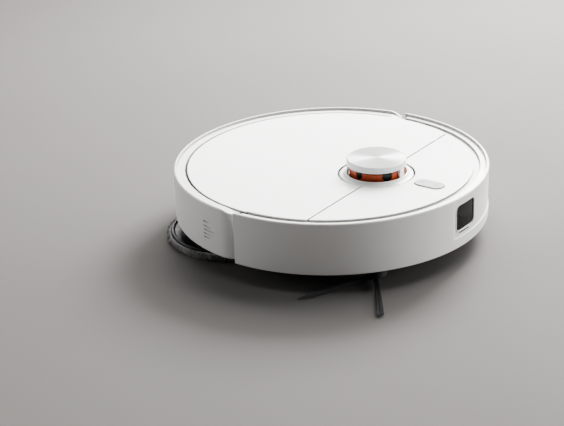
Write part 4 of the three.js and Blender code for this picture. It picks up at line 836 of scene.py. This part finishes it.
def front_cover():
    """a white skin over a carrier whose grey is painted shade, which shows as the soft grey line round the
    cover
    """
    centre = (BUTTON[0] + BUTTON[1]) / 2
    size = BUTTON[1] - BUTTON[0]
    for part, inset, seam, top, thick in SHEETS:
        pocket = moved(pill(size.x + 1.8, size.y + 1.8, size.x / 2 + 0.85, 0, 200, 16), centre.x, centre.y)
        layer = carved(panel(COVER_R - inset, top, thick, True, seam), pocket)
        sheet_of("front_cover", part, layer, "body")


def rear_lid():
    """the lifting lid, made like the front cover; ahead of the widest place it is cut to the cover's
    smaller radius"""
    for part, inset, seam, top, thick in SHEETS:
        nip = carved(carved(drum(BODY_R, 0, 200, ROUND), drum(COVER_R - inset, -5, 205, ROUND)),
                     block((-FAR, 0, -10), (FAR, FAR, 210)))
        layer = carved(panel(LID_R - inset, top, thick, False, seam), nip)
        sheet_of("rear_lid", part, layer, "rear_lid")


# ------------------------------------------------------------------ turret and button
def turret_foot():
    """the fixed pot: a thin flange in the lid that flares up into a low collar"""
    top, foot_z = LID_Z + 2.4, FOOT[0].z
    section = chain([
        (0, foot_z), (ROTOR_R + 5.6, foot_z), (ROTOR_R + 5.6, LID_Z - 3), (FOOT_R, LID_Z - 3),
        (FOOT_R, LID_Z - 1), (FOOT_R - 1.4, LID_Z - 0.5), (ROTOR_R + 6.0, LID_Z - 0.4),
        (ROTOR_R + 5.2, top), (ROTOR_R + 3.6, top), (ROTOR_R + 3.6, foot_z + 6),
        (ROTOR_R + 1, foot_z + 6), (ROTOR_R + 1, foot_z + 2), (0, foot_z + 2),
    ], [(0.8, [7, 8]), (2.2, [6]), (0.6, [4])])
    foot = moved(spun(section, 128), TURRET.x, TURRET.y)
    boss = drum(5, foot_z + 1, ROTOR[0].z - 0.3, 32, TURRET.x, TURRET.y)
    finished(joined(foot, boss), "turret_foot", "body", FINISH["shell"], ["turret_base"])


LENSES = (("lidar_emitter_lens", 5.6), ("lidar_receiver_lens", 3.9))  # node and radius


def lens_shape(node, radius, gap, depth):
    """a round bar that points out of the drum"""
    centre = middle(node)
    out = Vector((centre.x - TURRET.x, centre.y - TURRET.y, 0))
    turn = math.degrees(math.atan2(out.x, -out.y))
    bar = drum(radius + gap, -depth, 1.0, 40)
    moved(bar, turn=90, axis="X")
    moved(bar, y=-ROTOR_R, z=centre.z)
    return moved(moved(bar, turn=turn), TURRET.x, TURRET.y)


def turret_drum():
    """the spinning rotor: a cup with two round openings for its lenses"""
    top = ROTOR[1].z
    section = chain([(0, ROTOR[0].z), (ROTOR_R, ROTOR[0].z), (ROTOR_R, top), (ROTOR_R - 3, top),
                     (ROTOR_R - 3, top - 3.6), (0, top - 3.6)], [(0.5, [1, 2])])
    drum_body = moved(spun(section, 128), TURRET.x, TURRET.y)
    drum_body = carved(drum_body, *(lens_shape(node, size, 0.3, 8) for node, size in LENSES))
    finished(drum_body, "turret_drum", "laser_rotor", FINISH["drum"], ["lidar_rotor"])


def lens_covers():
    """the two round covers, cut from a thin ring just inside the drum's skin"""
    skin = carved(drum(ROTOR_R - 0.15, 0, 200, 128, TURRET.x, TURRET.y),
                  drum(ROTOR_R - 5, -5, 205, 64, TURRET.x, TURRET.y))
    skin = carved(skin, block((-FAR, -FAR, ROTOR[1].z - 0.4), (FAR, FAR, FAR)))
    for node, size in LENSES:
        cover = carved(lens_shape(node, size, 0, 6), skin.copy(), keep="INTERSECT")
        finished(cover, node.replace("lidar_", "") + "_cover", "laser_rotor", FINISH["window"], [node])
    skin.free()


def turret_top():
    """the spun metal cap with a bright chamfer, over a skirt with three posts that run down past the
    drum"""
    z0, z1 = CAP[1].z - 7, CAP[1].z
    posts = clean_copy("turret_cap")
    posts = carved(posts, block((-FAR, -FAR, z0 + 1.5), (FAR, FAR, FAR)))
    finished(posts, "turret_skirt", "turret_cap", FINISH["shell"], ["turret_cap"])
    profile = chain([(0, z0 + 3.2), (CAP_R - 2.8, z0 + 3.2), (CAP_R - 2.8, z0), (CAP_R, z0),
                     (CAP_R, z1 - 0.8), (CAP_R - 0.9, z1 - 0.05), (CAP_R - 1.3, z1 - 0.05),
                     (CAP_R - 1.3, z1 - 0.9), (0, z1 - 0.9)], [(0.25, [2]), (0.5, [3]), (0.2, [5])])
    band = moved(spun(profile, 192), TURRET.x, TURRET.y)
    finished(band, "turret_band", "turret_cap", FINISH["band"], ())
    plate = softened(drum(CAP_R - 1.0, z1 - 1, z1, 192, TURRET.x, TURRET.y), 0.15, topmost(z1), 2)
    finished(plate, "turret_disc", "turret_cap", FINISH["cap"], ())


def power_pill():
    """the pill-shaped rocking key on its stem, with a sign near each end"""
    centre = (BUTTON[0] + BUTTON[1]) / 2
    size = BUTTON[1] - BUTTON[0]
    top = BUTTON[1].z + 0.9
    key = moved(pill(size.x, size.y, size.x / 2 - 0.05, top - 2.3, top, 16), centre.x, centre.y)
    key = softened(key, 0.35, topmost(top))
    stem = block((-5, centre.y - 1.2, BUTTON[0].z), (5, centre.y + 1.2, top - 1))
    finished(joined(key, stem), "power_pill", "power_button", FINISH["button"], ["power_button"])
    for offset, power in ((-8.2, True), (8.2, False)):
        key_sign(centre.x, centre.y + offset, top, power)


def key_sign(x, y, z, power):
    """a plain sign: a broken ring with a stroke for on and off, or a small house for home"""
    low, high = z - 0.1, z + 0.03
    if power:
        sign = spun(outline([(1.75, low), (2.2, low), (2.2, high), (1.75, high)]), 28, 120, 300)
        sign = moved(joined(sign, block((-0.22, 0.6, low), (0.22, 2.7, high))), x, y)
    else:
        body = carved(block((-1.7, -1.6, low), (1.7, 1.0, high)),
                      block((-1.25, -1.15, z - 1), (1.25, 1.1, z + 1)))
        roof = [moved(block((-1.6, -0.2, low), (1.4, 0.22, high)), side * 1.05, 1.25, 0, -side * 38)
                for side in (-1, 1)]
        sign = moved(joined(body, *roof), x, y)
    bmesh.ops.scale(sign, vec=(1.25, 1.25, 1), space=Matrix.Translation((-x, -y, 0)), verts=sign.verts)
    name = "power_sign" if power else "home_sign"
    finished(sign, name, "power_button", FINISH["icon"], ())


# ------------------------------------------------------------------ brushes
def strand(points, radii, sides=4):
    """a bristle: a small ring of vertices drawn on through the points"""
    bm = bmesh.new()
    bmesh.ops.create_circle(bm, cap_ends=True, segments=sides, radius=radii[0])
    first = (Vector(points[1]) - Vector(points[0])).to_track_quat("Z", "Y").to_matrix()
    bmesh.ops.rotate(bm, verts=bm.verts, matrix=first)
    bmesh.ops.translate(bm, vec=points[0], verts=bm.verts)
    rim = bm.edges[:]
    for here, there, wide, next_wide in zip(points, points[1:], radii, radii[1:]):
        made = bmesh.ops.extrude_edge_only(bm, edges=rim)["geom"]
        ring = [g for g in made if isinstance(g, bmesh.types.BMVert)]
        rim = [g for g in made if isinstance(g, bmesh.types.BMEdge) and all(v in ring for v in g.verts)]
        centre = Matrix.Translation(-Vector(here))
        bmesh.ops.scale(bm, vec=(next_wide / wide,) * 3, space=centre, verts=ring)
        bmesh.ops.translate(bm, vec=Vector(there) - Vector(here), verts=ring)
    bmesh.ops.holes_fill(bm, edges=rim, sides=0)
    bmesh.ops.recalc_face_normals(bm, faces=bm.faces)
    return bm


def repeated(part, places):
    """copies of one small shape, one for each matrix"""
    whole = bmesh.new()
    mesh = mesh_of(part, "part")
    for place in places:
        before = len(whole.verts)
        whole.from_mesh(mesh)
        whole.verts.ensure_lookup_table()
        bmesh.ops.transform(whole, matrix=place, verts=whole.verts[before:])
    bpy.data.meshes.remove(mesh)
    return whole


# the two arms: number, direction in degrees, how much the middle bristles stand out in millimetres, and
# how pointed that makes the bunch
ARMS = ((1, 154.8, 14.5, 1), (2, 214.8, 8, 0.15))
BRISTLES = 95  # in each arm
ARM_LEAN = 25.2  # degrees of the first arm from the machine's right


def side_brush():
    """two flat bunches of bristles that spread towards their tips and lie almost on the floor"""
    pick = random.Random(7)
    root, steps = 9, 5
    length = (Vector((SIDE_TIP + SIDE_HUB.x, 0, 0)).length) / math.cos(math.radians(ARM_LEAN)) - 1
    for number, degrees, extra, point in ARMS:
        bristles = []
        for _ in range(BRISTLES):
            lane = pick.uniform(-1, 1)
            height = pick.uniform(-1, 1)
            reach = length - 2.2 * pick.random() + extra * (1 - abs(lane) * point) - lane * lane
            flare = pick.uniform(-0.35, 0.35)
            points = []
            for step in range(steps + 1):
                t = step / steps
                across = lane * (2.2 + 1.5 * t) + flare * t * t
                rise = 3.4 + height * (1.3 - 0.7 * t) - 0.55 * t * t
                points.append((root + (reach - root) * t, across, rise))
            bristles.append(strand(points, [0.34, 0.33, 0.31, 0.29, 0.26, 0.17], 4))
        holder = block((6, -3.0, 2.0), (15, 3.0, 5.2))
        holder = softened(holder, 0.8, lambda e: True, 2)
        arm = moved(joined(holder, *bristles), SIDE_HUB.x, SIDE_HUB.y, 0)
        bmesh.ops.rotate(arm, verts=arm.verts, cent=(SIDE_HUB.x, SIDE_HUB.y, 0),
                         matrix=Matrix.Rotation(math.radians(degrees), 3, "Z"))
        finished(arm, f"bristle_arm_{number}", "side_brush", FINISH["bristle"],
                 [f"side_brush_arm_{number}"])


def roller():
    """rubber vanes and orange bristle rows in turn, both drawn out in a shallow V along the core"""
    half = 75.5  # of the length of the vanes
    twist = math.radians(55)  # of a row from the middle to either end
    centre = (0, ROLLER_AT.y, ROLLER_AT.z)
    core_line = chain([(0, -half - 1.4), (12, -half - 1.4), (12, -half + 1), (9, -half + 2.4),
                       (9, half - 2.4), (12, half - 1), (12, half + 1.4), (0, half + 1.4)],
                      [(0.6, [1, 2, 5, 6])])
    core = moved(spun(core_line, 64), turn=90, axis="Y")
    rods = [moved(drum(5, half + 1, 84.6, 6), turn=90, axis="Y"),
            moved(drum(3, -half - 5.8, -half - 1, 24), turn=90, axis="Y")]
    vanes = []
    tufts = []
    pick = random.Random(11)
    tuft = strand([(0, 0, 8.6), (0, 0, 13.5), (0, 0, 17.9)], [0.62, 0.5, 0.3], 4)
    for number in range(6):
        angle = math.radians(60 * number)
        if number % 2 == 0:
            for side in (1, -1):
                blade = outline([(-1.5, 8.2), (1.5, 8.2), (0.9, 17.9), (-0.9, 17.9)], [(0.5, [2, 3])])
                moved(blade, turn=90, axis="Z")
                bmesh.ops.spin(blade, geom=blade.verts[:] + blade.edges[:], cent=(0, 0, 0), axis=(1, 0, 0),
                               dvec=(side * half / 30, 0, 0), angle=twist, steps=30, use_merge=False)
                bmesh.ops.holes_fill(blade, edges=[e for e in blade.edges if e.is_boundary], sides=0)
                tidy(blade)
                vanes.append(moved(blade, turn=math.degrees(angle), axis="X"))
        else:
            for step in range(-58, 59):
                along = step * 1.28 + pick.uniform(-0.2, 0.2)
                lean = angle + twist * abs(along) / half + math.radians(pick.uniform(-3, 3))
                tufts.append(Matrix.Translation((along, 0, 0)) @ Matrix.Rotation(lean, 4, "X") @
                             Matrix.Rotation(math.radians(pick.uniform(-5, 5)), 4, "Y"))
    body = moved(joined(core, *rods, *vanes), *centre)
    finished(body, "roller_core", "main_brush", FINISH["roller"], ["main_brush"])
    rows = moved(repeated(tuft, tufts), *centre)
    finished(rows, "roller_bristles", "main_brush", FINISH["brush_row"], ())


# ------------------------------------------------------------------ wheels
def tyre(side):
    """a rubber tyre with slanted lugs in two rows and a plain rib between them"""
    low, high = span("tyre_" + side)
    centre = (low + high) / 2
    radius, width = (high.z - low.z) / 2, high.x - low.x
    section = outline([(radius - 5.9, -width / 2), (radius - 2.6, -width / 2), (radius - 1.7, -width / 2 + 2),
                       (radius - 1.5, 0), (radius - 1.7, width / 2 - 2), (radius - 2.6, width / 2),
                       (radius - 5.9, width / 2)], [(0.8, [1, 5])])
    band = moved(spun(section, 96), turn=90, axis="Y")
    rib = moved(spun(outline([(radius - 2, -0.9), (radius - 0.5, -0.7), (radius - 0.5, 0.7),
                              (radius - 2, 0.9)]), 96), turn=90, axis="Y")
    lug = block((-3.5, -1.75, radius - 2.4), (3.5, 1.75, radius - 0.02))
    lug = softened(lug, 0.45, lambda e: True, 2)
    places = []
    lugs = 26  # in each row; the second row starts half a step on
    for number in range(lugs):
        for row in (-1, 1):
            angle = math.radians(number * 360 / lugs + (0 if row > 0 else 360 / (2 * lugs)))
            places.append(Matrix.Rotation(angle, 4, "X") @
                          Matrix.Translation((row * (width / 4 + 0.4), 0, 0)) @
                          Matrix.Rotation(math.radians(24 * row), 4, "Z"))
    whole = moved(joined(band, rib, repeated(lug, places)), *centre)
    finished(whole, "tread_" + side, "wheel_" + side, FINISH["tyre"], ["tyre_" + side])


# ------------------------------------------------------------------ mops
def mop_plate(side):
    """a shallow black dish: a rolled rim and a ring step round the hub"""
    low, high = span("mop_plate_" + side)
    centre = (low + high) / 2
    r = (high.x - low.x) / 2 - 3.4
    z0, top = low.z, high.z - 1.4
    section = chain([(0, z0), (r - 0.4, z0), (r - 0.1, z0 + 2.5), (r - 0.1, top), (r - 3.4, top),
                     (r - 4.2, z0 + 2.2), (46, z0 + 2.2), (45, z0 + 3.0), (41, z0 + 3.0), (40, z0 + 2.2),
                     (15, z0 + 2.2), (12.4, top), (6.4, top), (6.4, z0 + 1.2), (0, z0 + 1.2)],
                    [(1.4, [3, 4]), (1.0, [5]), (0.5, [7, 8]), (1.0, [11])])
    dish = moved(spun(section, 144), centre.x, centre.y)
    finished(dish, "mop_dish_" + side, "mop_" + side, FINISH["plate"],
             ["mop_plate_" + side])


def mop_pad(side):
    """a looped microfibre pad: it swells between the plate and the floor, lies flat where it rests,
    curls up round the plate's edge and carries loops of yarn there"""
    low, high = span("mop_pad_" + side)
    centre = (low + high) / 2
    r = (high.x - low.x) / 2
    thick = high.z - low.z
    pick = random.Random(21 if side == "left" else 22)
    lip = thick + 2.6  # height of the curled edge
    body = chain([(0, 0.5), (r - 4.5, 0.5), (r - 2.0, 2.6), (r - 2.0, lip), (r - 4.4, lip),
                  (r - 5.0, thick - 0.3), (0, thick - 0.3)], [(1.4, [1]), (0.9, [3, 4])])
    pad = moved(spun(body, 64), centre.x, centre.y)
    bmesh.ops.scale(pad, vec=(MM, MM, MM), verts=pad.verts)
    cloth = in_scene("mop_cloth_" + side, mesh_of(pad, "mop_cloth_" + side))
    remesh = cloth.modifiers.new("even_mesh", "REMESH")
    remesh.mode = "VOXEL"
    remesh.voxel_size = 1.7 * MM
    settle(cloth)
    swell(cloth, 1.0 * MM)
    finer = cloth.modifiers.new("finer", "SUBSURF")
    finer.levels = finer.render_levels = 1
    settle(cloth)
    for v in cloth.data.vertices:
        out = Vector((v.co.x - centre.x * MM, v.co.y - centre.y * MM))
        rough = noise.noise(v.co * per(2.6)) + 0.5 * noise.noise(v.co * per(1.2))
        edge = share((out.length / MM - r + 8) / 6)
        v.co.xy += out.normalized() * rough * 0.5 * MM * edge
        v.co.z += rough * 0.35 * MM
        top = lip + 0.4 if out.length / MM > r - 4.9 else thick - 0.05
        v.co.z = min(max(v.co.z, 0.02 * MM), top * MM)
    loop = strand([(0, 0, 0), (1.2, 0, 0.9), (1.9, 0, 0.1), (1.5, 0, -0.9), (0, 0, -1.1)],
                  [0.34, 0.36, 0.36, 0.34, 0.3], 3)
    places = []
    for _ in range(1000):
        angle = pick.uniform(0, 2 * math.pi)
        height = pick.uniform(1.6, lip - 0.2)
        inset = 2.5 + (1.2 if height < 2.4 else 0) + pick.uniform(-0.3, 0.4)
        places.append(Matrix.Translation((centre.x, centre.y, height)) @ Matrix.Rotation(angle, 4, "Z") @
                      Matrix.Translation((r - inset, 0, 0)) @
                      Matrix.Rotation(pick.uniform(-1.2, 1.2), 4, "X") @
                      Matrix.Scale(pick.uniform(0.75, 1.15), 4))
    loops = repeated(loop, places)
    bmesh.ops.scale(loops, vec=(MM, MM, MM), verts=loops.verts)
    extra = mesh_of(loops, "loops")
    both = bmesh.new()
    both.from_mesh(cloth.data)
    both.from_mesh(extra)
    both.to_mesh(cloth.data)
    both.free()
    bpy.data.meshes.remove(extra)
    cloth.data.shade_smooth()
    cloth.data.materials.clear()
    cloth.data.materials.append(FINISH["cloth"])
    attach(cloth, "mop_" + side)
    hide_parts("mop_pad_" + side)


def settle(piece):
    """takes on the shape that the modifiers give, and drops them"""
    shaped = bpy.data.meshes.new_from_object(piece.evaluated_get(bpy.context.evaluated_depsgraph_get()))
    old = piece.data
    piece.modifiers.clear()
    piece.data = shaped
    bpy.data.meshes.remove(old)


def swell(piece, most):
    """blows the pad up a little with the cloth solver; no point goes further than the cap"""
    before = [v.co.copy() for v in piece.data.vertices]
    puff = piece.modifiers.new("puff", "CLOTH")
    puff.settings.use_pressure = True
    puff.settings.uniform_pressure_force = 4
    puff.settings.effector_weights.gravity = 0
    scene = bpy.context.scene
    for step in range(1, 21):
        scene.frame_set(step)
    settle(piece)
    scene.frame_set(1)
    for v, old in zip(piece.data.vertices, before):
        shift = v.co - old
        if shift.length > most:
            v.co = old + shift.normalized() * most


# ------------------------------------------------------------------ underneath
def screws():
    """cross-head screws in shallow wells of the black underside"""
    under = span("chassis_base")[0].z
    head = spun(chain([(0, -1.1), (3.1, -1.1), (3.1, -0.5), (1.6, 0.1), (0, 0.2)], [(0.3, [2])]), 32)
    slot_one = block((-1.7, -0.35, -2), (1.7, 0.35, -0.5))
    slot_two = block((-0.35, -1.7, -2), (0.35, 1.7, -0.5))
    head = carved(tidy(head), slot_one, slot_two)
    spots = ((52, -92), (-40, -95), (100, -92), (0, -98), (-24, -6), (24, -6), (0, 62), (0, 128))
    places = [Matrix.Translation((x, y, under + 0.45)) for x, y in spots]
    finished(repeated(head, places), "chassis_screws", "body", NODE_FINISH["steel"], ())


# ------------------------------------------------------------------ floor and hand-over
def floor():
    bm = bmesh.new()
    bmesh.ops.create_grid(bm, x_segments=1, y_segments=1, size=6)
    mesh = mesh_of(bm, "floor")
    mesh.materials.append(FINISH["floor"])
    in_scene("floor", mesh)


# the finish of each CAD node, without its side or number
NODES = {
    "chassis_base": FINISH["chassis"],
    "button_board": NODE_FINISH["board"], "main_board": NODE_FINISH["board"],
    "wheel_cassette": NODE_FINISH["cassette"], "drive_unit": NODE_FINISH["gear"],
    "suspension_pin": NODE_FINISH["steel"], "suspension_spring": NODE_FINISH["spring"],
    "tyre": FINISH["tyre"], "wheel_hub": NODE_FINISH["hub"], "caster_yoke": NODE_FINISH["cassette"],
    "caster_wheel": NODE_FINISH["hub"], "caster_axle": NODE_FINISH["steel"],
    "main_brush": FINISH["roller"], "brush_end_cap": NODE_FINISH["cap_grey"],
    "brush_guard": NODE_FINISH["cassette"], "guard_latch": NODE_FINISH["latch"],
    "brush_gearbox": NODE_FINISH["gear"], "side_brush_hub": NODE_FINISH["cassette"],
    "side_gearbox": NODE_FINISH["gear"], "side_brush_arm": FINISH["bristle"],
    "mop_carriage": NODE_FINISH["gear"], "mop_pad": FINISH["cloth"], "mop_plate": FINISH["plate"],
    "mop_spindle": NODE_FINISH["steel"], "dust_bin": NODE_FINISH["bin"],
    "dust_bin_lid": NODE_FINISH["bin_dark"], "bin_filter": NODE_FINISH["filter"],
    "bin_well": NODE_FINISH["bin_dark"], "bin_handle": NODE_FINISH["latch"],
    "battery_pack": NODE_FINISH["battery"], "fan_housing": NODE_FINISH["bin_dark"],
    "fan_impeller": NODE_FINISH["impeller"], "charge_contact": NODE_FINISH["gold"],
    "cliff_sensor": FINISH["window"], "speaker": NODE_FINISH["speaker"],
}


def dress_nodes():
    """gives the CAD nodes their finishes"""
    for name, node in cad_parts.items():
        plain = name
        for ending in ("_left", "_right", "_1", "_2"):
            plain = plain.removesuffix(ending)
        if plain in NODES:
            node.data.materials.clear()
            node.data.materials.append(NODES[plain])


camera()
studio()
floor()
dress_nodes()
bumper_shell()
camera_window()
camera_block()
rear_shell()
deck()
front_cover()
rear_lid()
turret_foot()
turret_drum()
lens_covers()
turret_top()
power_pill()
side_brush()
roller()
for hand in ("left", "right"):
    tyre(hand)
    mop_plate(hand)
    mop_pad(hand)
screws()
